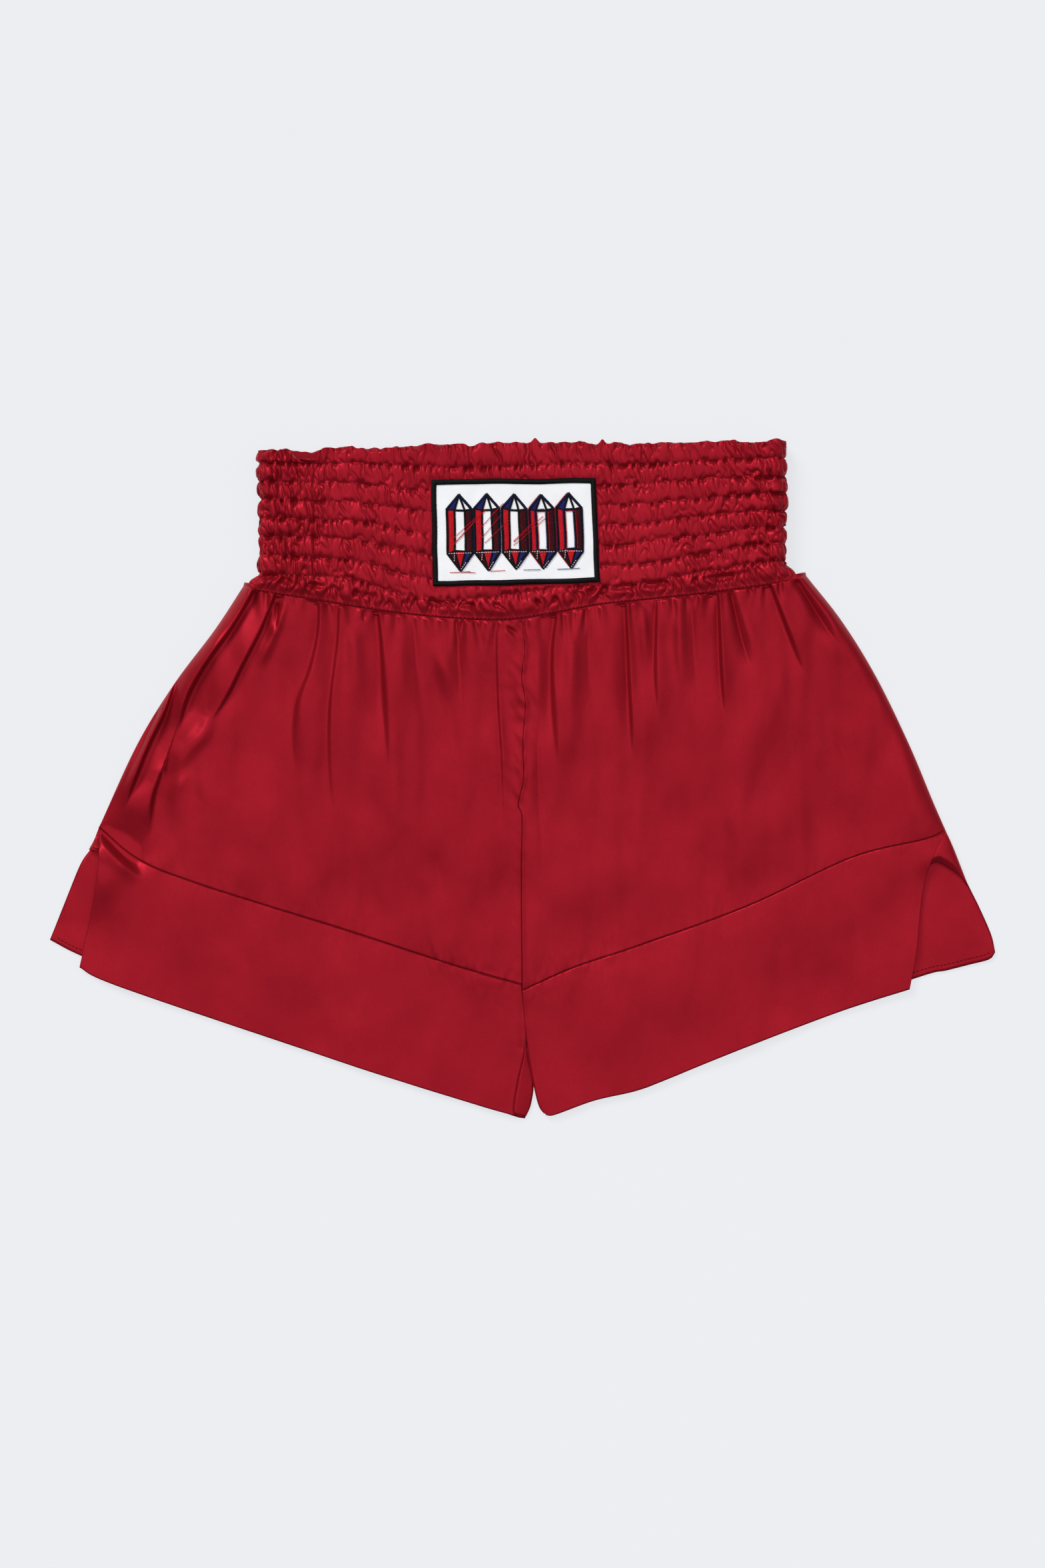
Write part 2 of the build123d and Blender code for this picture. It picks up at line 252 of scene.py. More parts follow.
def make_weave_group():
    """Satin weave: long floats over a fine ground. Height for bump, Floats as a 0 to 1 mask."""
    group, given, put = new_group(
        "woven_floats",
        [("Vector", "NodeSocketVector", None), ("Threads per metre", "NodeSocketFloat", 3200.0),
         ("Float length", "NodeSocketFloat", 0.2), ("Slub", "NodeSocketFloat", 0.5)],
        [("Height", "NodeSocketFloat"), ("Floats", "NodeSocketFloat")])
    along = math_node(group, "MULTIPLY", given.outputs["Threads per metre"],
                      given.outputs["Float length"])
    stretched = scaled_vector(group, given.outputs["Vector"],
                              (given.outputs["Threads per metre"], along, along))
    floats = noise_factor(group, stretched, 0.35, 2.0)
    slubs = noise_factor(group, scaled_vector(group, given.outputs["Vector"],
                                              (900.0, 60.0, 60.0)), 1.0, 2.0)
    slubbed = math_node(group, "MULTIPLY", slubs, given.outputs["Slub"])
    group.links.new(math_node(group, "ADD", floats, slubbed), put.inputs["Height"])
    group.links.new(floats, put.inputs["Floats"])
    return group


def make_mottle_group():
    """Soft patches of tone that differs at random; on the satin they also paint soft highlight and
    shade. Patches runs from 0 to 1.
    """
    group, given, put = new_group(
        "soft_patches",
        [("Vector", "NodeSocketVector", None), ("Patches per metre", "NodeSocketFloat", 22.0),
         ("Grain per metre", "NodeSocketFloat", 900.0)],
        [("Patches", "NodeSocketFloat"), ("Grain", "NodeSocketFloat")])
    group.links.new(noise_factor(group, given.outputs["Vector"],
                                 given.outputs["Patches per metre"], 3.0, 0.55),
                    put.inputs["Patches"])
    group.links.new(noise_factor(group, given.outputs["Vector"],
                                 given.outputs["Grain per metre"], 2.0, 0.7),
                    put.inputs["Grain"])
    return group


def make_twist_group():
    """Plies of a sewing thread, as slanting ridges across it; Shade is painted shade, darker in the
    grooves between the plies, with random fraying.
    """
    group, given, put = new_group(
        "twisted_plies",
        [("Vector", "NodeSocketVector", None), ("Turns per metre", "NodeSocketFloat", 1500.0)],
        [("Height", "NodeSocketFloat"), ("Shade", "NodeSocketFloat")])
    wave = group.nodes.new("ShaderNodeTexWave")
    wave.bands_direction = "DIAGONAL"
    wave.inputs["Distortion"].default_value = 1.5
    group.links.new(given.outputs["Vector"], wave.inputs["Vector"])
    group.links.new(given.outputs["Turns per metre"], wave.inputs["Scale"])
    group.links.new(wave.outputs["Fac"], put.inputs["Height"])
    fray = noise_factor(group, given.outputs["Vector"], 260.0, 2.0)
    # painted shade: the colour follows the ridges, darker in the grooves
    group.links.new(math_node(group, "MULTIPLY", wave.outputs["Fac"], fray), put.inputs["Shade"])
    return group


WEAVE = make_weave_group()
MOTTLE = make_mottle_group()
TWIST = make_twist_group()


def place_group(tree, group, vector, **values):
    """Places a shader group; an input's name has underscores where its label has spaces."""
    node = tree.nodes.new("ShaderNodeGroup")
    node.node_tree = group
    tree.links.new(vector, node.inputs["Vector"])
    for label, value in values.items():
        node.inputs[label.replace("_", " ")].default_value = value
    return node


def colour_between(tree, factor, dark, light, low=0.3, high=0.7):
    """Colour from dark to light as factor goes from low to high."""
    ramp = tree.nodes.new("ShaderNodeValToRGB")
    ramp.color_ramp.elements[0].position = low
    ramp.color_ramp.elements[1].position = high
    ramp.color_ramp.elements[0].color = (*dark, 1)
    ramp.color_ramp.elements[1].color = (*light, 1)
    tree.links.new(factor, ramp.inputs["Fac"])
    return ramp.outputs["Color"]


def range_between(tree, factor, low, high):
    """Number from low to high as factor goes from a quarter to three quarters."""
    node = tree.nodes.new("ShaderNodeMapRange")
    tree.links.new(factor, node.inputs["Value"])
    node.inputs["From Min"].default_value = 0.25
    node.inputs["From Max"].default_value = 0.75
    node.inputs["To Min"].default_value = low
    node.inputs["To Max"].default_value = high
    return node.outputs["Result"]


def bump_from(tree, height, distance, strength):
    """Normal raised by height; distance in metres."""
    node = tree.nodes.new("ShaderNodeBump")
    node.inputs["Distance"].default_value = distance
    node.inputs["Strength"].default_value = strength
    tree.links.new(height, node.inputs["Height"])
    return node.outputs["Normal"]


def new_material(name):
    """Material with its Principled shader and the piece's own coordinates."""
    material = bpy.data.materials.new(name)
    material.use_nodes = True
    tree = material.node_tree
    shader = tree.nodes["Principled BSDF"]
    place = tree.nodes.new("ShaderNodeTexCoord").outputs["Object"]
    return material, tree, shader, place


def satin(name, dark, light, metallic, roughness, patches=22.0):
    """Satin cloth: warp floats, soft patches in the base colour (dye tone, widened on the shell satin
    to paint soft highlight and shade) and a tinted, broad gloss.
    """
    material, tree, shader, place = new_material(name)
    mottle = place_group(tree, MOTTLE, place, Patches_per_metre=patches, Grain_per_metre=1500.0)
    weave = place_group(tree, WEAVE, place)
    # base colour patches: partly random dye tone, partly painted highlight and painted shade
    shade = math_node(tree, "ADD", math_node(tree, "MULTIPLY", mottle.outputs["Patches"], 0.5),
                      math_node(tree, "MULTIPLY", mottle.outputs["Grain"], 0.5))
    tree.links.new(colour_between(tree, shade, dark, light), shader.inputs["Base Color"])
    tree.links.new(range_between(tree, weave.outputs["Floats"], roughness - 0.03, roughness + 0.05),
                   shader.inputs["Roughness"])
    tree.links.new(bump_from(tree, weave.outputs["Height"], 0.00005, 0.35),
                   shader.inputs["Normal"])
    shader.inputs["Metallic"].default_value = metallic
    shader.inputs["Specular IOR Level"].default_value = 0.5
    shader.inputs["Specular Tint"].default_value = (1.0, 0.08, 0.15, 1)
    shader.inputs["Sheen Weight"].default_value = 0.05
    shader.inputs["Sheen Roughness"].default_value = 0.35
    shader.inputs["Sheen Tint"].default_value = (1.0, 0.10, 0.14, 1)
    return material


def thread(name, dark, light, roughness=0.45, sheen=0.05, gloss=0.3):
    """Embroidery or sewing thread with its plies."""
    material, tree, shader, place = new_material(name)
    twist = place_group(tree, TWIST, place)
    # base colour carries painted shade in the ply grooves
    tree.links.new(colour_between(tree, twist.outputs["Shade"], dark, light, 0.1, 0.6),
                   shader.inputs["Base Color"])
    tree.links.new(range_between(tree, twist.outputs["Height"], roughness + 0.08, roughness - 0.05),
                   shader.inputs["Roughness"])
    tree.links.new(bump_from(tree, twist.outputs["Height"], 0.00006, 0.5), shader.inputs["Normal"])
    shader.inputs["Specular IOR Level"].default_value = gloss
    shader.inputs["Sheen Weight"].default_value = sheen
    return material


def twill(name, dark, light):
    """White ground of the badge: diagonal twill ribs with a little soiling."""
    material, tree, shader, place = new_material(name)
    mottle = place_group(tree, MOTTLE, place, Patches_per_metre=60.0, Grain_per_metre=1800.0)
    ribs = tree.nodes.new("ShaderNodeTexWave")
    ribs.bands_direction = "DIAGONAL"
    ribs.inputs["Scale"].default_value = 380.0
    ribs.inputs["Distortion"].default_value = 0.6
    tree.links.new(place, ribs.inputs["Vector"])
    tree.links.new(colour_between(tree, mottle.outputs["Grain"], dark, light),
                   shader.inputs["Base Color"])
    tree.links.new(range_between(tree, mottle.outputs["Patches"], 0.70, 0.82),
                   shader.inputs["Roughness"])
    tree.links.new(bump_from(tree, ribs.outputs["Fac"], 0.0001, 0.35), shader.inputs["Normal"])
    shader.inputs["Sheen Weight"].default_value = 0.1
    return material


def braided_elastic(name):
    """Braided elastic: ribs along the band, a slightly yellowed white."""
    material, tree, shader, place = new_material(name)
    weave = place_group(tree, WEAVE, place, Threads_per_metre=1400.0, Float_length=0.6)
    mottle = place_group(tree, MOTTLE, place, Patches_per_metre=90.0)
    tree.links.new(colour_between(tree, mottle.outputs["Patches"], (0.55, 0.53, 0.47),
                                  (0.70, 0.68, 0.62)), shader.inputs["Base Color"])
    tree.links.new(range_between(tree, weave.outputs["Floats"], 0.6, 0.8),
                   shader.inputs["Roughness"])
    tree.links.new(bump_from(tree, weave.outputs["Height"], 0.0002, 0.8), shader.inputs["Normal"])
    return material


# dark to light spans painted shade and painted highlight patches as well as dye tone
SATIN = satin("red_satin", (0.240, 0.0054, 0.0120), (0.352, 0.0104, 0.0200), 0.40, 0.40)
LINING = satin("red_lining", (0.230, 0.006, 0.012), (0.290, 0.009, 0.017), 0.10, 0.55, 40.0)
RED_THREAD = thread("red_sewing_thread", (0.11, 0.002, 0.005), (0.19, 0.004, 0.009), 0.5, 0.0, 0.08)
ELASTIC = braided_elastic("braided_elastic")
BADGE_TWILL = twill("badge_white_twill", (0.94, 0.94, 0.97), (0.99, 0.99, 1.0))
BLACK_THREAD = thread("badge_black_thread", (0.002, 0.002, 0.003), (0.008, 0.008, 0.009),
                      0.5, 0.0, 0.12)
BADGE_RED = thread("badge_red_thread", (0.48, 0.003, 0.010), (0.76, 0.008, 0.022), 0.40, 0.0, 0.15)
BADGE_NAVY = thread("badge_navy_thread", (0.008, 0.010, 0.110), (0.016, 0.020, 0.210),
                    0.4, 0.0, 0.15)
BADGE_MAROON = thread("badge_maroon_thread", (0.040, 0.001, 0.004), (0.090, 0.002, 0.008),
                      0.4, 0.0, 0.12)
BADGE_WHITE_THREAD = thread("badge_white_thread", (0.70, 0.70, 0.76), (0.90, 0.90, 0.95), 0.42)

# ------------------------------------------------------------------ the lay of the cloth
# Waist seam, hem seam and edges as they lie, in millimetres from the middle of the shorts.
WAIST_LINE = {"left": [(0, 103.8), (-31, 103.2), (-85, 108), (-139, 117), (-178.8, 125.6)],
              "right": [(0, 103.8), (49, 112.6), (87, 116.7), (134, 122.2), (181.8, 132)]}
HIP_LINE = {"left": [(-178.8, 125.6), (-197.6, 97), (-223.3, 62.8), (-247.6, 23.1), (-272, -30)],
            "right": [(181.8, 132), (205, 102.6), (227, 67), (248, 24), (263.5, -13), (271.6, -31.6)]}
CENTRE_LINE = {"left": [(0, 103.8), (1.6, 84), (-0.4, 66), (2.0, 50), (0.4, 26), (0.8, 2), (-2.6, -15),
                        (-0.2, -24), (-0.6, -60), (0, -131)],
               "right": [(0, 103.8), (1.6, 84), (-0.4, 66), (2.0, 50), (0.4, 26), (0.8, 2),
                         (-2.6, -15), (-0.2, -24), (-0.6, -60), (0, -134.6)]}
HEM_SEAM = {"left": [(0, -131), (-47, -117.5), (-116, -95), (-204, -67.5), (-246, -50.9), (-272, -30)],
            "right": [(0, -134.6), (33.5, -119.7), (75.4, -105.6), (144.7, -80.3), (211.8, -49.1),
                      (257.9, -37.6), (271.6, -31.6)]}
FRONT_FLAP = {"left": [(-272, -30), (-271.6, -47), (-274, -70), (-284.4, -119.7)],
              "right": [(271.6, -31.6), (261.5, -53), (256.5, -73.5), (252.8, -109), (248.5, -133.8)]}
FRONT_HEM = {"left": [(-5, -215), (-31, -207.5), (-96, -187.2), (-155, -167.5), (-226, -143.6),
                      (-271, -127.4), (-284.4, -119.7)],
             "right": [(15.2, -214.5), (21, -214.3), (46, -205.3), (73, -199), (92, -192),
                       (140.4, -172.2), (203.6, -148.3), (248.5, -133.8)]}
FRONT_INNER = {"left": [(0, -131), (2.2, -166), (-3.2, -194), (-5.6, -209), (-5, -215)],
               "right": [(0, -134.6), (2.8, -168), (6.2, -189), (10.5, -207.7), (15.2, -214.5)]}
BACK_FLAP = {"left": [(-272, -30), (-276.4, -42), (-284, -53.5), (-294, -78), (-303.6, -102.1)],
             "right": [(271.6, -31.6), (277, -43.6), (284.6, -63), (293.6, -81.5), (301.0, -98.5),
                       (303.6, -110)]}
BACK_HEM = {"left": [(1.5, -216.8), (-5, -215.5), (-30, -206.5), (-100, -181), (-226, -137),
                     (-283.5, -112.4), (-303.6, -102.1)],
            "right": [(13, -211), (60, -196), (140, -167), (250.2, -127.6), (272.6, -121.8),
                      (287.4, -118), (300.0, -114.6), (303.6, -110)]}
BACK_INNER = {"left": [(0, -131), (2.4, -166), (7, -191), (5.5, -207), (1.5, -216.8)],
              "right": [(0, -134.6), (3.5, -168), (9, -191), (13, -211)]}

CENTRE_X, CENTRE_Y = np.array(CENTRE_LINE["right"], float).T
SEAM_HEIGHT = 16.2    # front cloth at the waist seam
HEM_SEAM_HEIGHT = 6.6  # front cloth at the hem seam
HEM_HEIGHT = 4.4
BACK_HEIGHT = 1.7
SIDE_HEIGHT = 3.0     # where front and back meet along the hip
PANEL_FALL = 236      # cloth from the waist seam to the hem seam
BAND_FALL = 85        # cloth from the hem seam to the hem
GATHER_END = 182      # the gathers of the waist seam stop this far from the middle
FOLD_GAIN = 1.25      # all named folds are this much deeper than they are listed

# Named folds of the front: way, depth, half width at the start and at the end, kind, fade.
FOLDS = {
    "left": [
        ([(-172, 121), (-185, 99), (-203, 74), (-215, 52), (-221, 28)], -3.4, 1.8, 3.6, "step", 1.3),
        ([(-158, 119), (-168, 95), (-179, 74), (-189, 54), (-202, 34)], -2.6, 1.5, 3.4, "step", 1.1),
        ([(-150, 117), (-160, 92), (-172, 68)], 2.0, 2.2, 4.5, "ridge", 1.0),
        ([(-187, 56), (-199, 42), (-205, 30), (-222, 11), (-234, -8), (-240, -38)],
         2.2, 4.0, 9.0, "ridge", 0.5),
        ([(-157, 112), (-158, 93)], 1.2, 1.6, 2.2, "valley", 0.9),
        ([(-130, 117), (-131, 95), (-136, 72), (-144, 50), (-146, 26), (-145, 0)],
         2.2, 1.8, 6.0, "step", 0.7),
        ([(-118, 117), (-118, 93), (-123, 50), (-123.5, 11), (-120, -28), (-119, -45)],
         1.7, 1.8, 6.0, "step", 0.6),
        ([(-101, 113), (-101.5, 100)], 1.2, 1.6, 2.0, "valley", 0.9),
        ([(-108, 112), (-107, 80), (-104, 40)], 1.5, 4.0, 7.0, "ridge", 0.6),
        ([(-80, 104), (-77, 70), (-74, 20)], 1.3, 4.5, 8.0, "ridge", 0.6),
        ([(-92, 106), (-90, 83), (-88, 50), (-86, 19), (-85, 0)], 2.6, 2.0, 5.5, "step", 0.7),
        ([(-70, 107), (-66, 60), (-60, 20)], 0.9, 3.5, 11, "valley", 0.6),
        ([(-42, 104), (-40, 60), (-36, 10)], 1.3, 3.5, 10, "valley", 0.6),
        ([(-58, 92), (-46, 62), (-34, 34)], 1.3, 5.0, 8.0, "ridge", 0.5),
        ([(-16.6, 109), (-16.6, 89), (-15.6, 50), (-13.6, 19), (-12.6, -8), (-10.7, -60)],
         1.5, 1.1, 3.0, "step", 0.4),
        ([(-11, 99), (-4, 94), (0, 93)], 1.4, 1.2, 2.0, "valley", 0.3),
        ([(-222, 66), (-229, 44), (-241, 19), (-256, -20)], -4.0, 1.8, 3.4, "step", 1.2),
        ([(-234, 44), (-244, 24), (-260, -12)], 2.4, 1.6, 3.0, "valley", 0.6),
        ([(-232, 4), (-237, -12), (-240, -40)], -2.6, 3.6, 5.5, "step", 0.5),
        ([(-210, 8), (-222, -6), (-230, -30)], -1.3, 6.0, 9.0, "valley", 0.3),
        ([(-60, -30), (-50, -80), (-44, -125)], 0.8, 8.0, 14.0, "valley", 0.2),
        ([(-150, -20), (-146, -70), (-140, -130)], 0.7, 10.0, 16.0, "valley", 0.2),
        ([(-271, -36), (-262, -45), (-250, -56), (-240, -66)], -6.0, 7.0, 10.0, "step", 0.8),
    ],
    "right": [
        ([(22, 109), (19, 81), (20, 45), (24, 0)], 2.4, 1.8, 5.0, "step", 0.7),
        ([(31, 110), (32, 80), (31, 40), (34, 6)], 1.5, 4.0, 7.0, "ridge", 0.7),
        ([(44, 110), (42, 80), (46, 30)], 1.0, 3.0, 10.0, "valley", 0.6),
        ([(66, 114), (68, 69), (71, 4)], 2.6, 1.6, 4.5, "step", 0.8),
        ([(77, 116), (78, 92), (80, 60)], 1.6, 2.6, 5.0, "ridge", 0.8),
        ([(100, 118), (101, 84), (104, 46)], 1.6, 3.2, 6.0, "ridge", 0.8),
        ([(86, 117), (85, 69), (88, 30)], 1.8, 1.8, 5.0, "step", 0.7),
        ([(108, 119), (110, 80), (116, 20)], 1.1, 3.0, 11.0, "valley", 0.6),
        ([(125, 121), (128, 57), (131, 34)], 2.8, 1.4, 3.6, "step", 0.9),
        ([(133, 121), (141, 88), (150, 60)], 1.8, 1.8, 5.0, "valley", 0.7),
        ([(158, 127), (166, 106), (176, 80), (184, 62)], 2.6, 2.2, 5.0, "step", 0.7),
        ([(176, 127), (197, 94), (210, 76)], 2.0, 2.2, 5.0, "valley", 0.6),
        ([(160, 60), (172, 20), (176, -30)], 0.9, 8.0, 14.0, "valley", 0.3),
        ([(196, 40), (214, 0), (222, -30)], 1.0, 7.0, 12.0, "valley", 0.3),
        ([(60, -10), (66, -60), (64, -110)], 0.8, 9.0, 15.0, "valley", 0.2),
        ([(120, -20), (118, -70), (110, -120)], 0.7, 9.0, 16.0, "valley", 0.2),
        ([(12, 60), (10, 10), (13, -60), (12, -110)], 0.9, 3.0, 5.0, "valley", 0.3),
        ([(9, 108), (10, 70), (11, 30), (10, -10)], 1.3, 3.5, 5.0, "ridge", 0.6),
    ],
}


def fold_relief(x, y, side):
    """Height that the named folds add, in millimetres."""
    height = np.zeros(x.shape)
    for way, depth, start_width, end_width, kind, fade in FOLDS[side]:
        distance, share = stroke(x, y, way)
        width = mix(start_width, end_width, share ** 1.3)
        strength = FOLD_GAIN * depth * (1 - smooth(0.6 * fade, 1.0, share)) ** 1.3
        if fade < 0.45 or kind == "ridge":  # a fold that also rises from nothing at its start
            strength = strength * smooth(0.0, 0.35, share)
        if kind == "valley":
            near = np.exp(-(distance / width) ** 2)
            crease = np.exp(-(distance / (0.35 * width)) ** 2)
            banks = np.exp(-((np.abs(distance) - 2.1 * width) / (1.4 * width)) ** 2)
            height += strength * (0.3 * banks - 0.75 * near - 0.3 * crease)
        elif kind == "ridge":
            height += strength * np.exp(-(distance / width) ** 2)
        else:  # a pleat: high on one bank, a sharp drop, then a slow return
            sharp = np.tanh(distance / (0.22 * width)) * 0.6 + np.tanh(distance / (0.7 * width)) * 0.4
            bank = sharp * np.exp(-np.abs(distance) / (3.4 * width))
            height += strength * bank
    return height


def gather_relief(along, down, seed):
    """Small gathers that hang from the waist seam; along and down in millimetres."""
    rng = np.random.default_rng(seed)
    height = np.zeros(along.shape)
    place = 2.0
    while place < GATHER_END:
        reach = rng.uniform(9, 34)
        width = rng.uniform(1.0, 2.6)
        depth = rng.uniform(0.6, 1.9)
        lean = rng.uniform(-0.12, 0.12)
        fade = np.clip(1 - down / reach, 0, 1) ** 1.4
        spread = width * (1 + 0.9 * down / reach)
        distance = (along - place - lean * down) / spread
        height += fade * depth * (0.45 * np.exp(-((np.abs(distance) - 1.9) / 1.1) ** 2)
                                  - np.exp(-distance ** 2))
        place += rng.uniform(4.0, 10.0)
    return height


SIDE_SIGN = {"left": -1, "right": 1}


def seam_relief(x, y, v, side):
    """Grooves and small puckers that the seams leave, in millimetres."""
    past_hem = np.where(v < 1, (1 - v) * PANEL_FALL, (v - 1) * BAND_FALL)
    groove = -0.05 * np.exp(-(past_hem / 1.4) ** 2)
    pull = np.exp(-past_hem / 7) * lattice_noise(x / 3.6, y / 9, 14) * (0.25 + 0.35 * (np.abs(x) < 60))
    from_centre = np.abs(x - np.interp(-y, -CENTRE_Y, CENTRE_X))
    reach = 4.5 if side == "right" else 10.0
    near_centre = np.exp(-from_centre / reach) * (v < 1.55)
    pucker = near_centre * lattice_noise(y / 8 + x / 14, x / 9, 15) * (0.2 + 0.7 * smooth(-30, 10, y))
    lap = (0.8 if side == "right" else -0.5) * np.exp(-(from_centre / 2.0) ** 2) * (v < 1.5)
    return groove + pull + pucker + lap


def front_height(x, y, u, v, side):
    """Height of the front cloth; v is 0 at the waist seam, 1 at the hem seam, 2 at the hem."""
    sign = SIDE_SIGN[side]
    low_v = np.clip(v, 0, 1)
    base = mix(SEAM_HEIGHT, HEM_SEAM_HEIGHT, low_v ** 1.15)
    base = mix(base, HEM_HEIGHT, smooth(1.0, 2.0, v))
    broad = 2.3 * lattice_noise(x / 58 + 3.1, y / 90, 11) + 1.5 * lattice_noise(x / 24, y / 52, 12)
    broad = broad + 0.34 * lattice_noise(x / 12, y / 30, 16)
    broad = broad + 1.6 * lattice_noise(x / 15 + 5.3, y / 120, 17) * smooth(0.8, 0.15, low_v)
    broad = broad * smooth(0.0, 0.25, v) * (1 - 0.5 * smooth(0.9, 1.3, v))
    crumple = 0.10 * lattice_noise(x / 7, y / 16, 13) + seam_relief(x, y, v, side)
    folds = fold_relief(x, y, side) * (1 - 0.5 * smooth(1.0, 1.25, v))
    gathers = gather_relief(np.abs(x), v * PANEL_FALL, 5 if sign < 0 else 6)
    tucked = smooth(0.0, 0.012, v)
    height = base + broad + (crumple + folds + gathers) * tucked - 0.7 * (1 - tucked)
    edge = np.clip((u - 0.955) / 0.045, 0, 1)
    closed = 1 - (smooth(1.0, 1.04, v) if side == "right" else smooth(1.05, 1.2, v))
    round_off = 1 - np.sqrt(np.clip(1 - edge ** 2, 0, 1))
    height = mix(height, SIDE_HEIGHT, round_off * closed)
    flap_wave = 0.9 * np.sin(v * 7 + 1.3 * sign) * smooth(0.8, 1, u) * smooth(1.05, 1.4, v)
    arch_rise = 1.8 * np.exp(-((x - 266) / 11) ** 2 - ((y + 50) / 9) ** 2) * smooth(1.0, 1.05, v)
    flap_wave = flap_wave + arch_rise
    return np.maximum(height + flap_wave, BACK_HEIGHT + 1.0)


def back_height(x, y, u, v, side):
    """Height of the back cloth, which rests on the table."""
    broad = 0.5 * lattice_noise(x / 48, y / 60, 21) + 0.2 * lattice_noise(x / 15, y / 22, 22)
    flap = 0.4 * smooth(0.85, 1, u) * smooth(1.1, 1.7, v) * (0.5 + lattice_noise(x / 14, y / 14, 23))
    edge = smooth(0.96, 1.0, u) * (SIDE_HEIGHT - 0.6 - BACK_HEIGHT) * (1 - smooth(0.95, 1.1, v))
    return np.clip(BACK_HEIGHT + broad + flap + edge, 0.75, 3.4)


def leg_points(layer, side, u, v):
    """Points of a leg's cloth in millimetres; v runs 0 to 1 on the panel, 1 to 2 on the band."""
    flap, hem, inner = ((FRONT_FLAP, FRONT_HEM, FRONT_INNER) if layer == "front"
                        else (BACK_FLAP, BACK_HEM, BACK_INNER))
    panel = patch(WAIST_LINE[side], HEM_SEAM[side], CENTRE_LINE[side], HIP_LINE[side],
                  u, np.clip(v, 0, 1))
    band = patch(HEM_SEAM[side], hem[side], inner[side], flap[side], u, np.clip(v - 1, 0, 1))
    plan = np.where((v <= 1)[..., None], panel, band)
    x, y = plan[..., 0], plan[..., 1]
    height = front_height if layer == "front" else back_height
    return np.stack([x, y, height(x, y, u, v, side)], axis=-1)


def leg_grid(side, columns, v_values):
    """Parameter grid whose faces look up on either leg."""
    u = np.linspace(0, 1, columns)
    u = 1 - (1 - u) ** 1.12
    u, v = np.meshgrid(u if side == "right" else u[::-1], v_values)
    return u, v


CLOTH = 0.45  # thickness of the satin
for layer in ("front", "back"):
    for side in ("left", "right"):
        columns, rows = (400, 200) if layer == "front" else (150, 120)
        u, v = leg_grid(side, columns, np.linspace(0, 1, rows) ** 1.25)
        panel = cloth_object(f"{layer}_{side}_panel", leg_points(layer, side, u, v))
        thicken(panel, CLOTH, rim_only=layer == "front")
        finish_piece(panel, SATIN, [f"{layer}_{side}_panel"])
        u, v = leg_grid(side, columns * 5 // 8, np.linspace(1, 2, rows * 2 // 5))
        points = leg_points(layer, side, u, v)
        points[..., 2] -= 0.03 * (1 - smooth(1.0, 1.03, v))  # just under the panel at the seam
        band = cloth_object(f"{layer}_{side}_hem_band", points)
        thicken(band, 2 * CLOTH)
        finish_piece(band, SATIN, [f"{layer}_{side}_hem_band"])

# ------------------------------------------------------------------ gathered waistband
BAND_MIDDLE = 9.0       # height of the flattened loop's middle above the table
BAND_RADIUS = 7.4       # half the loop's thickness, before the puffs
PUFF = 1.5              # how far a channel swells
SIDE_PUFF = 2.6         # the same at the side folds
BAND_STRAIGHT = HALF_WAIST - BAND_RADIUS - SIDE_PUFF
QUARTER = BAND_STRAIGHT + BAND_RADIUS * math.pi / 2  # from mid front to the edge of a side fold
CHANNELS = 8
STITCH_ROWS = CHANNELS - 1
# first row and pitch of the stitch rows: left edge, past the left third, badge, badge, right edge
ROW_STATIONS = [-172.0, -118.0, -58.0, 50.0, 172.0]
ROW_FIRST = [203.4, 203.0, 200.5, 202.0, 206.0]
ROW_PITCH = [11.9, 12.1, 14.2, 12.9, 10.85]
EDGE_TURN = 4.8         # how far the top edge turns in, down to the lining
CORNER_FLARE = 9.0      # the waist seam is this much wider than the band at each side
NOTCH_X, NOTCH_WIDTH, NOTCH_DEPTH = -138.5, 8.0, 9.5  # the top edge is folded down here
NOTCH_LIP = 2.8         # how far the folded place stands out
TOP_CHANNEL_MIN = 2.5   # the top channel is at least this high, at the folded place too
BACK_GATHER = 0.35      # the back's gathers, pressed by the table, as a share of the front's


def station_value(x, values):
    """Value at x, easing between the stations."""
    x = np.clip(x, ROW_STATIONS[0], ROW_STATIONS[-1])
    result = np.full(np.shape(x), float(values[0]))
    for i in range(len(values) - 1):
        result = result + (values[i + 1] - values[i]) * smooth(ROW_STATIONS[i], ROW_STATIONS[i + 1], x)
    return result


def row_line(x, number):
    """Y of a stitch row at x; row 1 is the uppermost."""
    wander = 0.5 * lattice_noise(x / 17, number * 3.7, 31)
    wander = wander + 0.9 * lattice_noise(x / 55, number * 1.9, 32)
    return station_value(x, ROW_FIRST) - (number - 1) * station_value(x, ROW_PITCH) + wander


def waist_line(x):
    """Y of the waist seam at x."""
    left = np.array(WAIST_LINE["left"][::-1], float)
    right = np.array(WAIST_LINE["right"][1:], float)
    line = curve_through(np.vstack([left, right]), np.linspace(0, 1, 200))
    return np.interp(x, line[:, 0], line[:, 1])


def top_line(x, notch=NOTCH_DEPTH):
    """Y of the ruffled top edge at x; notch is how far the folded place dips."""
    line = mix(TOP - 5.5, TOP - 0.8, smooth(-175, 175, x)) + 1.8 * np.exp(-((x + 15) / 60) ** 2)
    ruffle = 1.3 * lattice_noise(x / 5.5, 0.5, 33) + 0.9 * lattice_noise(x / 19, 4.5, 34)
    tuft = 2.2 * np.exp(-((x - 8) / 2.0) ** 2) + 2.6 * np.exp(-((x - 51) / 1.8) ** 2)
    dip = notch * np.exp(-((x - NOTCH_X) / NOTCH_WIDTH) ** 4)
    return np.minimum(line + ruffle, TOP + 1.0) + tuft - dip


def band_levels(x, notch):
    """Y of the seams that bound the channels at x, from the waist seam up to the top edge."""
    levels = [waist_line(x)]
    levels += [row_line(x, number) for number in range(STITCH_ROWS, 0, -1)]
    levels.append(np.maximum(top_line(x, notch), levels[-1] + TOP_CHANNEL_MIN))
    return levels


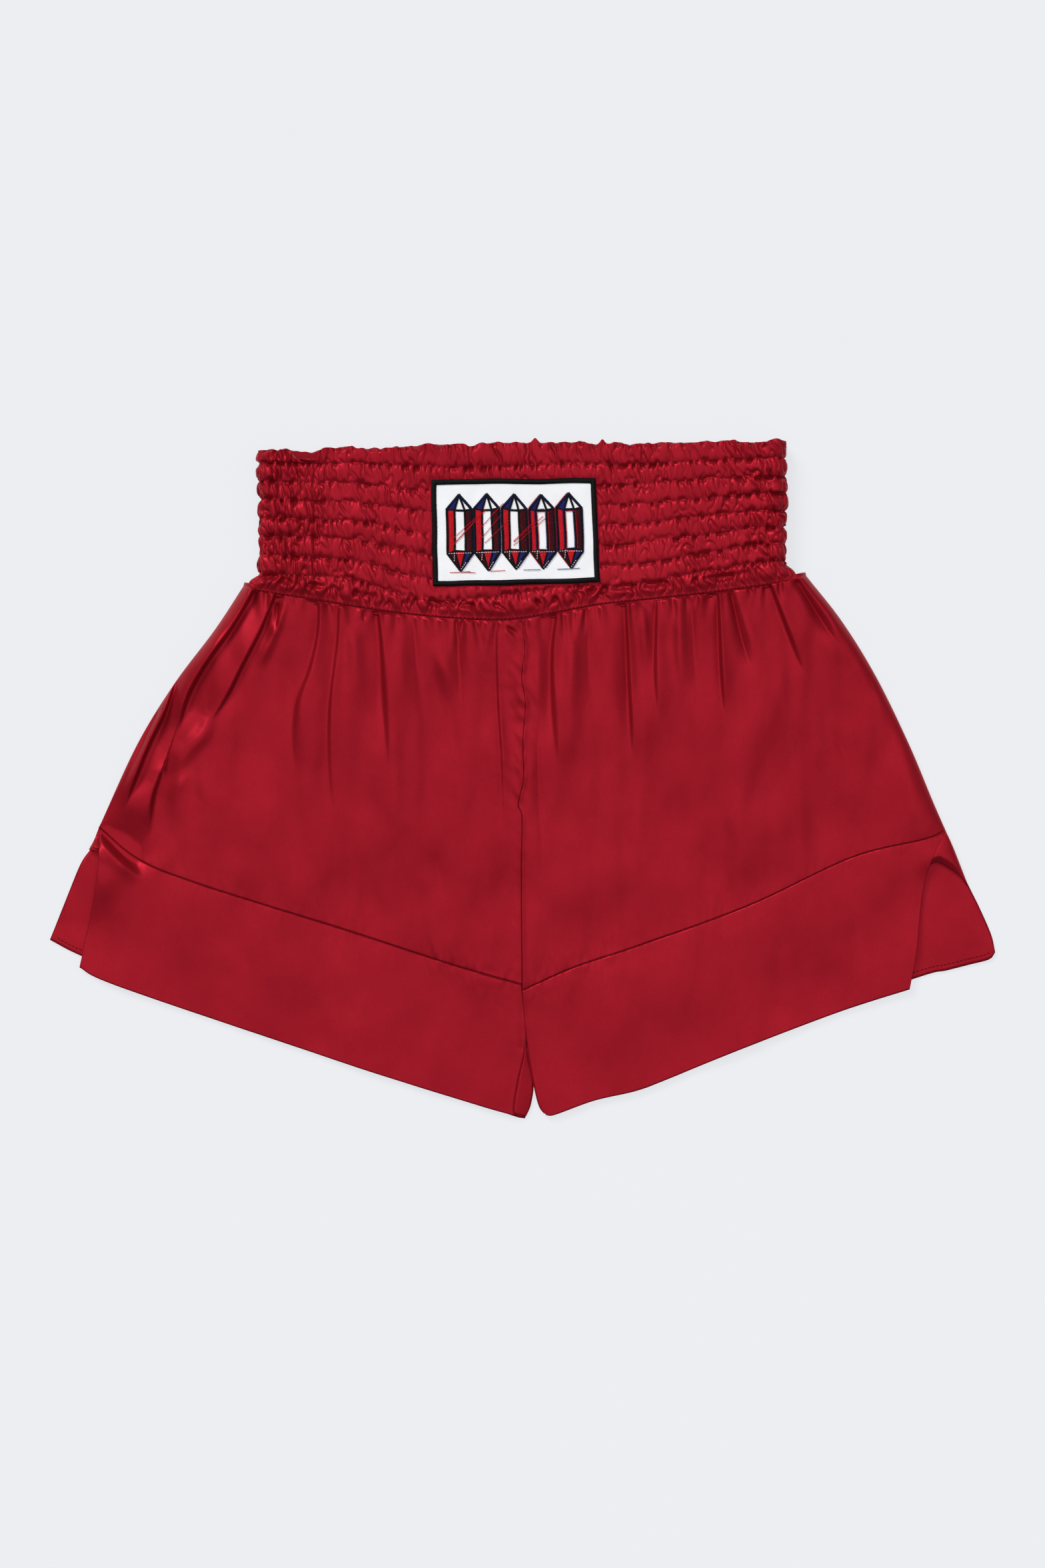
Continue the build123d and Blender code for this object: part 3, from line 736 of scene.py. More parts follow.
def loop_frame(s):
    """Across position, height and outward direction on the flattened loop at run s."""
    s = (s + 2 * QUARTER) % (4 * QUARTER) - 2 * QUARTER
    turn = np.clip((np.abs(s) - BAND_STRAIGHT) / BAND_RADIUS, 0, math.pi)
    sign = np.sign(s)
    past = np.clip(np.abs(s) - BAND_STRAIGHT - math.pi * BAND_RADIUS, 0, None)
    across = sign * (np.minimum(np.abs(s), BAND_STRAIGHT) + BAND_RADIUS * np.sin(turn) - past)
    height = BAND_MIDDLE + BAND_RADIUS * np.cos(turn)
    return across, height, sign * np.sin(turn), np.cos(turn)


def badge_mask(x, y):
    """1 where the badge holds the gathers flat, fading to 0 just outside it."""
    dx = np.abs(x - BADGE_CENTRE[0]) - BADGE_SIZE[0] / 2
    dy = np.abs(y - BADGE_CENTRE[1]) - BADGE_SIZE[1] / 2
    return 1 - smooth(-3.0, 3.5, np.maximum(dx, dy))


def pucker_relief(s, x, y, t, channel, crowd):
    """Gathers of one channel; t runs 0 to 1 across it, crowd says how tightly it is gathered."""
    rim = np.abs(2 * t - 1)
    lane = channel * 7.3
    warp = 1.6 * lattice_noise(s / 7, t * 1.3 + lane, 41)
    fine = lattice_noise((s + warp) / 2.3, t * 0.55 + lane, 42)
    middle = lattice_noise((s + 1.3 * warp + 2 * t) / 4.8, t * 0.7 + lane, 43)
    large = lattice_noise((s - 2 * t) / 15, t * 0.5 + lane, 45)
    sparse = smooth(-0.35, 0.35, lattice_noise(s / 9.0, t * 0.8 + lane, 44))
    creases = np.exp(-(middle / 0.10) ** 2) * (0.35 + 0.65 * sparse)
    nips = np.exp(-(fine / 0.22) ** 2) * rim ** 1.5
    relief = (0.5 * np.abs(fine) ** 0.8 - 0.8 * nips) * (0.25 + 0.75 * rim) * (0.4 + 0.6 * sparse)
    relief = relief + 0.75 * np.abs(middle) ** 0.6 - 0.9 * creases
    columns = lattice_noise((x + 0.8 * lattice_noise(y / 9, x / 9, 51)) / 4.6, y / 26, 52)
    crush = 1.5 * np.abs(columns) ** 0.8 - 1.0 * np.exp(-(columns / 0.15) ** 2)
    crush = smooth(-118, -134, x) * crush
    pocket = smooth(0.0, 0.35, lattice_noise((s + warp) / 3.9, lane, 55))
    relief = relief - 3.4 * pocket * np.exp(-((1 - t) / 0.16) ** 2)
    pocket = smooth(0.05, 0.4, lattice_noise((s - warp) / 4.4, lane, 56))
    relief = relief - 2.5 * pocket * np.exp(-(t / 0.14) ** 2)
    return relief * crowd + crush + 0.6 * large


def ruffle_relief(s, fall):
    """Loose loops of cloth between the lowest stitch row and the waist seam, fall above the seam."""
    swirl = 3.0 * lattice_noise(s / 12, fall / 9, 53)
    drape = lattice_noise((s + swirl) / 6.0, fall / 19, 50)
    loops = 2.0 * np.abs(drape) ** 0.7 - 1.4 * np.exp(-(drape / 0.10) ** 2)
    hollow = smooth(0.0, 0.4, lattice_noise((s + 2 * swirl) / 7.0, 2.5, 57))
    arch = fall - 9.0 - 1.5 * lattice_noise(s / 9, 7.5, 58)
    return loops - 3.2 * hollow * np.exp(-(arch / 2.2) ** 2)


def notch_lip(x):
    """How far the rim of the folded place stands out at x."""
    return NOTCH_LIP * np.exp(-((x - NOTCH_X) / (1.1 * NOTCH_WIDTH)) ** 2)


def band_relief(s, x, y, channel, t):
    """How far the shell stands out from the plain loop, in millimetres."""
    top_row = channel == CHANNELS - 1
    fall = y - waist_line(x)
    ruffle = 1 - smooth(9.0, 13.0, fall)
    crowd = 0.75 + 0.7 * smooth(118, 160, np.abs(x)) + 0.3 * lattice_noise(x / 30, y / 30, 46)
    crowd = crowd * (1 + 0.55 * lattice_noise(x / 13, y / 10, 54)) * (1 - 0.5 * ruffle)
    swell = mix(PUFF, SIDE_PUFF, smooth(BAND_STRAIGHT - 6, BAND_STRAIGHT + 6, np.abs(s)))
    swell = swell * (0.85 + 0.3 * lattice_noise(x / 16, channel * 5.1, 47)) * (1 - 0.5 * ruffle)
    profile = np.clip(4 * t * (1 - t), 0, 1) ** 0.32
    profile = np.where(top_row & (t > 0.5), 1.0, profile)
    relief = swell * profile * 0.8 + pucker_relief(s, x, y, t, channel, crowd) * (0.45 + 0.55 * profile)
    slant = np.sin((y + 0.55 * x) / 4.2 + 2 * lattice_noise(x / 20, y / 20, 48))
    zone = np.exp(-((x + 88) / 24) ** 2) * np.exp(-((y - 172) / 26) ** 2)
    relief = relief + 0.45 * slant * zone + ruffle * ruffle_relief(s, fall)
    relief = np.maximum(relief, -2.7) * smooth(0.0, 7.0, fall) - 0.15
    relief = np.where(top_row, relief * 1.05 + 0.9 * t * lattice_noise(s / 5.5, 9.5, 49), relief)
    return mix(relief + top_row * t ** 2 * notch_lip(x), 0.15 + 0.05 * relief, badge_mask(x, y))


def band_points(s, share, inset=0.0, follow=1.0, notch=NOTCH_DEPTH):
    """Points of the band at run s (0 is the middle of the front) and share of its height."""
    across, height, out_x, out_z = loop_frame(s)
    levels = np.stack(band_levels(across, notch))
    place = np.clip(share, 0, 1) * CHANNELS
    channel = np.clip(np.floor(place), 0, CHANNELS - 1).astype(int)
    t = place - channel
    low = np.take_along_axis(levels, channel[None], 0)[0]
    high = np.take_along_axis(levels, channel[None] + 1, 0)[0]
    y = mix(low, high, t)
    relief = band_relief(s, across, y, channel, t) * follow
    relief = np.where(out_z < 0, mix(relief, relief * BACK_GATHER, -out_z), relief) - inset
    flare = CORNER_FLARE * (1 - smooth(0.0, 1.0, (y - waist_line(across)) / 13.0))
    flare = flare * smooth(0.72, 1.0, np.abs(across) / HALF_WAIST) * np.sign(across)
    drop = (SEAM_HEIGHT - BAND_MIDDLE - BAND_RADIUS) * (1 - smooth(0, 13, y - waist_line(across)))
    x = across + out_x * relief + flare
    z = height + out_z * relief + drop * np.clip(out_z, 0, 1)
    return np.stack([x, y, np.maximum(z, 0.4)], axis=-1)


def band_sheet(name, start, end, columns, rows, curl, **shape):
    """Grid piece of the band from run start to end, with its top edge curled inwards."""
    s, share = np.meshgrid(np.linspace(start, end, columns), np.linspace(0, 1, rows)[::-1])
    points = band_points(s, share, **shape)
    if curl:
        across, _, out_x, out_z = loop_frame(s[:curl])
        turns = np.linspace(1, 0, curl, endpoint=False)[:, None]
        edge = points[0][None]
        reach = EDGE_TURN + notch_lip(across) * np.clip(out_z, 0, 1)
        inward = reach * np.sin(turns * math.pi / 2)
        rolled = edge.repeat(curl, axis=0)
        rolled[..., 0] -= out_x * inward
        rolled[..., 2] -= out_z * inward
        rolled[..., 1] += 0.7 * np.sin(turns * math.pi) - 1.5 * turns ** 2
        points = np.concatenate([rolled, points])
    return cloth_object(name, points)


front_shell = band_sheet("waistband_front_shell", -QUARTER, QUARTER, 640, 128, 5)
thicken(front_shell, CLOTH, rim_only=True)
finish_piece(front_shell, SATIN, ["waistband_front_shell", "waistband_left_fold"])
back_shell = band_sheet("waistband_back_shell", QUARTER, 3 * QUARTER, 420, 100, 5, notch=2.0)
thicken(back_shell, CLOTH, rim_only=True)
finish_piece(back_shell, SATIN, ["waistband_back_shell", "waistband_right_fold"])

LINING_INSET = 4.4
LINING_FOLLOW = 0.2     # share of the shell's gathers that the lining follows
for name, start, end in (("waistband_front_lining", -QUARTER, QUARTER),
                         ("waistband_back_lining", QUARTER, 3 * QUARTER)):
    lining = band_sheet(name, start, end, 260, 64, 0, inset=LINING_INSET, follow=LINING_FOLLOW,
                        notch=NOTCH_DEPTH if start < 0 else 1.5)
    thicken(lining, CLOTH)
    finish_piece(lining, LINING, ["waistband_lining"])

ELASTIC_INSET = 3.0
ELASTIC_THICKNESS = 0.8
ELASTIC_FOOT = 0.18     # where an elastic starts in its channel, as a share of the channel's height
ELASTIC_TOPS = [0.66] + [0.86] * (CHANNELS - 1)  # where it ends; the uppermost has a narrower one
for number, elastic_top in enumerate(ELASTIC_TOPS, start=1):
    run, t = np.meshgrid(np.linspace(-2 * QUARTER, 2 * QUARTER, 260, endpoint=False),
                         np.linspace(elastic_top, ELASTIC_FOOT, 7))
    loop = band_points(run, (CHANNELS - number + t) / CHANNELS, inset=ELASTIC_INSET, follow=0.0)
    elastic = cloth_object(f"elastic_{number}", loop, closed=True)
    thicken(elastic, ELASTIC_THICKNESS)
    finish_piece(elastic, ELASTIC, [f"elastic_{number}"])

# ------------------------------------------------------------------ sewn threads
def make_thread_tree():
    """Geometry tree that turns every edge of a mesh into one raised thread stitch."""
    tree = bpy.data.node_groups.new("sewn_threads", "GeometryNodeTree")
    face = tree.interface
    face.new_socket("Edges", in_out="INPUT", socket_type="NodeSocketGeometry")
    for label, value in (("Radius", 0.0003), ("Arch", 0.0003), ("Taper", 0.5), ("Jitter", 0.0001)):
        face.new_socket(label, in_out="INPUT", socket_type="NodeSocketFloat").default_value = value
    for label, value in (("Sides", 6), ("Segments", 5), ("Seed", 3)):
        face.new_socket(label, in_out="INPUT", socket_type="NodeSocketInt").default_value = value
    face.new_socket("Material", in_out="INPUT", socket_type="NodeSocketMaterial")
    face.new_socket("Threads", in_out="OUTPUT", socket_type="NodeSocketGeometry")
    new, link = tree.nodes.new, tree.links.new
    given, put = new("NodeGroupInput"), new("NodeGroupOutput")

    def maths(operation, a, b):
        node = new("ShaderNodeMath")
        node.operation = operation
        for socket, value in zip(node.inputs, (a, b)):
            if isinstance(value, bpy.types.NodeSocket):
                link(value, socket)
            else:
                socket.default_value = value
        return node.outputs[0]

    curves = new("GeometryNodeMeshToCurve")
    link(given.outputs["Edges"], curves.inputs["Mesh"])
    resample = new("GeometryNodeResampleCurve")
    link(curves.outputs["Curve"], resample.inputs["Curve"])
    link(given.outputs["Segments"], resample.inputs["Count"])
    along = new("GeometryNodeSplineParameter")
    bow = maths("SINE", maths("MULTIPLY", along.outputs["Factor"], math.pi), 0.0)
    stray = new("FunctionNodeRandomValue")
    stray.data_type = "FLOAT_VECTOR"
    stray.inputs["Min"].default_value = (-1, -1, -0.5)
    stray.inputs["Max"].default_value = (1, 1, 0.5)
    link(given.outputs["Seed"], stray.inputs["Seed"])
    scatter = new("ShaderNodeVectorMath")
    scatter.operation = "SCALE"
    link(stray.outputs[0], scatter.inputs[0])
    link(given.outputs["Jitter"], scatter.inputs["Scale"])
    lift = new("ShaderNodeCombineXYZ")
    link(maths("MULTIPLY", bow, given.outputs["Arch"]), lift.inputs["Z"])
    shift = new("ShaderNodeVectorMath")
    shift.operation = "ADD"
    link(scatter.outputs[0], shift.inputs[0])
    link(lift.outputs[0], shift.inputs[1])
    raise_up = new("GeometryNodeSetPosition")
    link(resample.outputs["Curve"], raise_up.inputs["Geometry"])
    link(shift.outputs[0], raise_up.inputs["Offset"])
    slim = maths("SUBTRACT", 1.0, given.outputs["Taper"])
    girth = maths("ADD", slim, maths("MULTIPLY", bow, given.outputs["Taper"]))
    ring = new("GeometryNodeCurvePrimitiveCircle")
    link(given.outputs["Sides"], ring.inputs["Resolution"])
    link(given.outputs["Radius"], ring.inputs["Radius"])
    tube = new("GeometryNodeCurveToMesh")
    link(raise_up.outputs["Geometry"], tube.inputs["Curve"])
    link(ring.outputs["Curve"], tube.inputs["Profile Curve"])
    tube.inputs["Fill Caps"].default_value = True
    link(girth, tube.inputs["Scale"])
    shade = new("GeometryNodeSetShadeSmooth")
    link(tube.outputs["Mesh"], shade.inputs["Geometry"])
    real = new("GeometryNodeRealizeInstances")
    link(shade.outputs["Geometry"], real.inputs["Geometry"])
    paint = new("GeometryNodeSetMaterial")
    link(real.outputs["Geometry"], paint.inputs["Geometry"])
    link(given.outputs["Material"], paint.inputs["Material"])
    link(paint.outputs["Geometry"], put.inputs["Threads"])
    return tree


THREAD_TREE = make_thread_tree()
THREAD_SOCKETS = {item.name: item.identifier for item in THREAD_TREE.interface.items_tree
                  if item.item_type == "SOCKET" and item.in_out == "INPUT"}


def sew(name, starts, ends, material, **values):
    """Plain mesh of thread stitches, one from each start to each end (millimetres)."""
    count = len(starts)
    corners = np.stack([starts, ends], axis=1).reshape(-1, 3) * MM
    edges = np.arange(2 * count).reshape(-1, 2)
    source = bpy.data.meshes.new(name + "_edges")
    source.from_pydata(corners.tolist(), edges.tolist(), [])
    maker = bpy.data.objects.new(name + "_maker", source)
    bpy.context.collection.objects.link(maker)
    modifier = maker.modifiers.new("threads", "NODES")
    modifier.node_group = THREAD_TREE
    modifier[THREAD_SOCKETS["Material"]] = material
    for label, value in values.items():
        modifier[THREAD_SOCKETS[label]] = value
    shown = maker.evaluated_get(bpy.context.evaluated_depsgraph_get())
    mesh = bpy.data.meshes.new_from_object(shown)
    mesh.name = name
    piece = bpy.data.objects.new(name + "_thread", mesh)
    bpy.context.collection.objects.link(piece)
    bpy.data.objects.remove(maker)
    bpy.data.meshes.remove(source)
    MADE[name] = piece
    return piece


def stitches_on(way, length, gap, lift):
    """Starts and ends of a run of stitches along a line of points (millimetres)."""
    run = np.concatenate([[0], np.cumsum(np.linalg.norm(np.diff(way, axis=0), axis=1))])
    at = np.arange(gap, run[-1] - length, length + gap)
    up = np.array([0, 0, lift])
    starts = np.stack([np.interp(at, run, way[:, k]) for k in range(3)], axis=1) + up
    ends = np.stack([np.interp(at + length, run, way[:, k]) for k in range(3)], axis=1) + up
    return starts, ends


def sew_runs(name, runs, material, slot, nodes, **values):
    """One piece from several runs of stitches."""
    piece = sew(name, np.vstack([r[0] for r in runs]), np.vstack([r[1] for r in runs]),
                material, **values)
    return settle(piece, nodes)


SEWING = {"Radius": 0.28 * MM, "Arch": 0.18 * MM, "Taper": 0.45, "Jitter": 0.08 * MM, "Sides": 6,
          "Segments": 5}
HEM_SEWING = {**SEWING, "Radius": 0.19 * MM, "Arch": 0.1 * MM}
row_run = np.linspace(-QUARTER, QUARTER, 500)
for name, start in (("channel_seams_front", 0.0), ("channel_seams_back", 2 * QUARTER)):
    runs = []
    for number in range(1, STITCH_ROWS + 1):
        share = np.full(row_run.shape, (CHANNELS - number) / CHANNELS)
        runs.append(stitches_on(band_points(row_run + start, share), 2.3, 1.0,
                                0.12 if start == 0 else -0.05))
    sew_runs(name, runs, RED_THREAD, "thread_red", [name], **SEWING)

# ------------------------------------------------------------------ seams
def cloth_strip(name, way, half_width, nodes, material=SATIN):
    """Narrow strip of cloth that lies flat along a line of points (millimetres)."""
    step = np.gradient(way, axis=0)
    left = np.stack([-step[:, 1], step[:, 0], np.zeros(len(step))], axis=1)
    left /= np.linalg.norm(left, axis=1)[:, None]
    rows = np.linspace(half_width, -half_width, 5)[:, None, None]
    strip = cloth_object(name, way[None] + left[None] * rows)
    thicken(strip, CLOTH)
    return finish_piece(strip, material, nodes)


def edge_way(layer, side, u, v):
    """Line on a leg's cloth for given u and v (either may be one number), running left to right."""
    u, v = np.broadcast_arrays(np.asarray(u, float), np.asarray(v, float))
    way = leg_points(layer, side, u[None], v[None])[0]
    return way if way[0, 0] < way[-1, 0] else way[::-1]


ALONG = np.linspace(0, 1, 260)
for layer in ("front", "back"):
    # the waist seam: a hidden seam allowance and the row that holds it
    allowance = np.vstack([edge_way(layer, "left", ALONG, 0.004),
                           edge_way(layer, "right", ALONG[1:], 0.004)])
    allowance[:, 2] -= 0.9 if layer == "front" else -0.3
    cloth_strip(f"waist_seam_{layer}", allowance, 2.4, [f"waist_seam_{layer}"])
    # hem seams
    for side in ("left", "right"):
        line = edge_way(layer, side, ALONG, 0.9955)
        name = f"{layer}_{side}_hem_topstitch"
        sew_runs(name, [stitches_on(line, 1.7, 0.7, 0.0 if layer == "front" else -0.5)],
                 RED_THREAD, "thread_red", [name], **HEM_SEWING)

row = band_points(np.linspace(-QUARTER, QUARTER, 500), np.full(500, 0.009))
sew_runs("waist_topstitch", [stitches_on(row, 1.8, 0.8, 0.15)], RED_THREAD, "thread_red",
         ["waist_seam_front"], **SEWING)

for name, layer, lift in (("centre_front_seam", "front", -0.75), ("centre_back_seam", "back", 0.5)):
    down = leg_points(layer, "left", np.full((1, 160), 0.0), np.linspace(0.02, 1.35, 160)[None])[0]
    down[:, 2] += lift
    cloth_strip(name, down, 2.2, [name])

for side in ("left", "right"):
    line = leg_points("back", side, np.full((1, 160), 0.988), np.linspace(0.02, 0.99, 160)[None])[0]
    line[:, 2] = SIDE_HEIGHT - 0.45
    cloth_strip(f"{side}_side_seam", line, 2.0, [f"{side}_side_seam"])
    reach = np.linspace(0.45, 0.98, 60)[None]
    front = leg_points("front", side, np.zeros((1, 60)), 1 + reach)[0]
    back = leg_points("back", side, np.zeros((1, 60)), 1 + reach)[0]
    shares = np.linspace(0, 1, 7)[:, None, None]
    bulge = np.sin(shares * math.pi) * 0.5 * SIDE_SIGN[side]
    inner = mix(front[None], back[None], shares)
    inner[..., 0] -= bulge[..., 0]
    inner[..., 2] -= 0.4 * (1 - shares[..., 0])
    inseam = cloth_object(f"{side}_inseam", inner if side == "left" else inner[:, ::-1])
    thicken(inseam, CLOTH)
    finish_piece(inseam, SATIN, [f"{side}_inseam"])

# ------------------------------------------------------------------ side vents
VENTS = {  # where the front turns round the hip: share of the band's edge, the hip edge, the arch
    "left": (0.17, [(-272, -30), (-275.2, -38), (-278.5, -44)], [(-274.5, -44.5)]),
    "right": (0.235, [(271.6, -31.6), (277, -43.6), (284.6, -63), (286.4, -67)],
              [(262.4, -53.4), (267.6, -52.4), (278.5, -58.6)]),
}
VENT_TUCK = 2.8  # how far the folded edge turns under
for side, (reach, hip, arch) in VENTS.items():
    edge = leg_points("front", side, np.ones((1, 40)), np.linspace(1, 1 + reach, 40)[None])[0]
    bottom = [tuple(edge[-1, :2])] + arch + [hip[-1]]
    u, v = np.meshgrid(np.linspace(0, 1, 40), np.linspace(0.02, 1, 40))
    plan = patch([hip[0]] * 2, bottom, edge[:, :2], hip, u, v)
    z = mix(np.interp(v, np.linspace(0, 1, 40), edge[:, 2]), SIDE_HEIGHT, 1 - np.sqrt(1 - u ** 2))
    z -= VENT_TUCK * smooth(0.80, 1.0, v) * (1 - u)
    points = np.stack([plan[..., 0], plan[..., 1], z], axis=-1)
    vent = cloth_object(f"{side}_vent_turning", points if side == "right" else points[:, ::-1])
    thicken(vent, 2 * CLOTH)
    finish_piece(vent, SATIN)

for side in ("left", "right"):
    runs = [stitches_on(edge_way("back", side, np.linspace(0.05, 0.99, 200), 1.955), 1.8, 0.8, 0.1)]
    sew_runs(f"{side}_back_hem_stitches", runs, RED_THREAD, "thread_red",
             [f"back_{side}_hem_topstitch"], **SEWING)

# ------------------------------------------------------------------ badge
# The badge hangs a little askew: its corners against the corners of its box, in millimetres.
BADGE_CORNERS = np.array([[(0.5, -0.2), (-1.8, 0.9)], [(1.7, -0.8), (1.1, 1.4)]])
BADGE_BASE = BAND_MIDDLE + BAND_RADIUS + 1.5  # it lies on the band's flattened puffs
BADGE_THICKNESS = 0.8
BORDER_WIDTH = 3.0


def badge_points(across, up, lift=0.0):
    """Points on the badge; across and up run from -1 to 1."""
    across, up = np.broadcast_arrays(np.asarray(across, float), np.asarray(up, float))
    a, b = (across + 1) / 2, (1 - up) / 2
    low, high = mix(BADGE_CORNERS[0, 0], BADGE_CORNERS[0, 1], a[..., None]), mix(
        BADGE_CORNERS[1, 0], BADGE_CORNERS[1, 1], a[..., None])
    shift = mix(low, high, b[..., None])
    x = BADGE_CENTRE[0] + across * BADGE_SIZE[0] / 2 + shift[..., 0]
    y = BADGE_CENTRE[1] + up * BADGE_SIZE[1] / 2 + shift[..., 1]
    y = y + 0.5 * lattice_noise(x / 26, up * 0.7, 61)
    x = x + 0.4 * lattice_noise(y / 20, across * 0.7, 62)
    wave = 0.5 * lattice_noise(x / 24, y / 30, 63) + 0.25 * lattice_noise(x / 9, y / 12, 64)
    return np.stack([x, y, BADGE_BASE + wave + lift], axis=-1)


across, up = np.meshgrid(np.linspace(-0.985, 0.985, 150), np.linspace(0.975, -0.975, 100))
ground = cloth_object("badge_ground", badge_points(across, up))
thicken(ground, BADGE_THICKNESS)
finish_piece(ground, BADGE_TWILL, ["badge_ground"])


def around_badge(inset_mm, count):
    """Points round the badge at an inset from its edge: across, up and the way along it."""
    w = 1 - inset_mm / (BADGE_SIZE[0] / 2)
    h = 1 - inset_mm / (BADGE_SIZE[1] / 2)
    corners = np.array([(-w, h), (w, h), (w, -h), (-w, -h), (-w, h)])
    lengths = np.array([BADGE_SIZE[0], BADGE_SIZE[1], BADGE_SIZE[0], BADGE_SIZE[1]])
    run = np.concatenate([[0], np.cumsum(lengths)])
    at = np.linspace(0, run[-1], count, endpoint=False)
    return np.interp(at, run, corners[:, 0]), np.interp(at, run, corners[:, 1])


BORDER_COUNT = int(2 * (BADGE_SIZE[0] + BADGE_SIZE[1]) / 0.5)
outer_x, outer_y = around_badge(0.1, BORDER_COUNT)
inner_x, inner_y = around_badge(BORDER_WIDTH, BORDER_COUNT)
turns = np.roll(np.arange(BORDER_COUNT), -1)
border = sew("badge_border", badge_points(outer_x, outer_y, 0.15),
             badge_points(inner_x[turns], inner_y[turns], 0.1), BLACK_THREAD,
             Radius=0.42 * MM, Arch=0.85 * MM, Taper=0.1, Jitter=0.05 * MM, Sides=6, Segments=8)
settle(border, ["badge_border"])

inner_x, inner_y = around_badge(BORDER_WIDTH - 0.1, 900)
way = badge_points(np.append(inner_x, inner_x[0]), np.append(inner_y, inner_y[0]), 0.35)
sew_runs("badge_fixing_stitches", [stitches_on(way, 1.9, 0.9, 0.0)], BLACK_THREAD,
         "badge_thread_black", ["badge_fixing_stitches"], **SEWING)

# embroidery: five cut gems
gems_lo, gems_hi = box_mm("embroidery_black_outlines")
GEM_COUNT = 5
GEM_GAP = 2.0
GEM_WIDTH = ((gems_hi - gems_lo)[0] - (GEM_COUNT - 1) * GEM_GAP) / GEM_COUNT
GEM_HEIGHT = (gems_hi - gems_lo)[1]
CORNERS = {"crown": (0, 1), "left_shoulder": (-1, 0.62), "right_shoulder": (1, 0.62),
           "left_hip": (-1, -0.55), "right_hip": (1, -0.55), "foot": (0, -1),
           "table_left": (-0.42, 0.58), "table_right": (0.42, 0.58),
           "base_left": (-0.42, -0.5), "base_right": (0.42, -0.5)}
LINES = [("crown", "left_shoulder"), ("left_shoulder", "left_hip"), ("left_hip", "foot"),
         ("crown", "right_shoulder"), ("right_shoulder", "right_hip"), ("right_hip", "foot"),
         ("table_left", "table_right"), ("table_right", "base_right"), ("base_right", "base_left"),
         ("base_left", "table_left"), ("crown", "table_left"), ("crown", "table_right"),
         ("left_shoulder", "table_left"), ("right_shoulder", "table_right"),
         ("left_hip", "base_left"), ("right_hip", "base_right"), ("foot", "base_left"),
         ("foot", "base_right")]
FILLS = {
    "embroidery_red_facets": (BADGE_RED, "badge_thread_red", [
        ("left_shoulder", "left_hip", "base_left", "table_left"), ("base_left", "foot", "base_right")]),
    "embroidery_maroon_facets": (BADGE_MAROON, "badge_thread_maroon", [
        ("right_shoulder", "table_right", "base_right", "right_hip"),
        ("left_hip", "foot", "base_left")]),
    "embroidery_navy_facets": (BADGE_NAVY, "badge_thread_navy", [
        ("crown", "left_shoulder", "table_left"), ("right_hip", "base_right", "foot")]),
}


def on_badge(points, lift):
    """Badge points for places given in millimetres from the badge's middle."""
    points = np.asarray(points, float)
    return badge_points(points[:, 0] / (BADGE_SIZE[0] / 2), points[:, 1] / (BADGE_SIZE[1] / 2), lift)


def gem_corner(number, label):
    """Corner of a gem in millimetres from the badge's middle, with a hand-drawn error."""
    rng = np.random.default_rng(70 + number * 17 + list(CORNERS).index(label))
    x, y = CORNERS[label]
    middle = (number - (GEM_COUNT - 1) / 2) * (GEM_WIDTH + GEM_GAP)
    return np.array([middle + x * GEM_WIDTH / 2, y * GEM_HEIGHT / 2]) + rng.uniform(-0.35, 0.35, 2)


def fill_stitches(corners, spacing):
    """Starts and ends of level stitches that fill a polygon."""
    corners = np.array(corners)
    starts, ends = [], []
    for level in np.arange(corners[:, 1].min() + spacing, corners[:, 1].max() - spacing / 2, spacing):
        crossings = []
        for a, b in zip(corners, np.roll(corners, -1, axis=0)):
            if (a[1] <= level) != (b[1] <= level):
                crossings.append(a[0] + (b[0] - a[0]) * (level - a[1]) / (b[1] - a[1]))
        if len(crossings) == 2 and abs(crossings[1] - crossings[0]) > 0.3:
            starts.append((min(crossings), level - 0.12))
            ends.append((max(crossings), level + 0.12))
    return starts, ends


def line_stitches(a, b, width, spacing):
    """Starts and ends of short stitches laid side by side across a line."""
    way = (b - a) / np.linalg.norm(b - a)
    side = np.array([-way[1], way[0]])
    at = np.arange(0, np.linalg.norm(b - a) + spacing, spacing)[:, None]
    middle = a + way * at
    lean = way * 0.25
    return middle - side * width / 2 - lean, middle + side * width / 2 + lean


for name, (material, slot, facets) in FILLS.items():
    starts, ends = [], []
    for number in range(GEM_COUNT):
        for facet in facets:
            first, last = fill_stitches([gem_corner(number, c) for c in facet], 0.42)
            starts += first
            ends += last
    fill = sew(name, on_badge(starts, 0.12), on_badge(ends, 0.12), material, Radius=0.27 * MM,
               Arch=0.25 * MM, Taper=0.1, Jitter=0.08 * MM, Sides=5, Segments=5)
    settle(fill, [name])

starts, ends = [], []
for number in range(GEM_COUNT):
    for a, b in LINES:
        outer = "table" not in a + b and "base" not in a + b
        first, last = line_stitches(gem_corner(number, a), gem_corner(number, b),
                                    1.65 if outer else 1.2, 0.4)
        starts.append(first)
        ends.append(last)
outlines = sew("embroidery_black_outlines", on_badge(np.vstack(starts), 0.3),
               on_badge(np.vstack(ends), 0.3), BLACK_THREAD, Radius=0.26 * MM, Arch=0.28 * MM,
               Taper=0.1, Jitter=0.06 * MM, Sides=5, Segments=4)
settle(outlines, ["embroidery_black_outlines"])


def sketch_run(a, b):
    """Running stitches along a straight sketch line, in millimetres from the badge's middle."""
    limit = BADGE_SIZE[:2] / 2 - BORDER_WIDTH - 1.5
    ends = np.clip(np.array([a, b]), -limit, limit)
    return stitches_on(on_badge(curve_through(ends, np.linspace(0, 1, 30)), 0.55), 0.9, 0.3, 0.0)


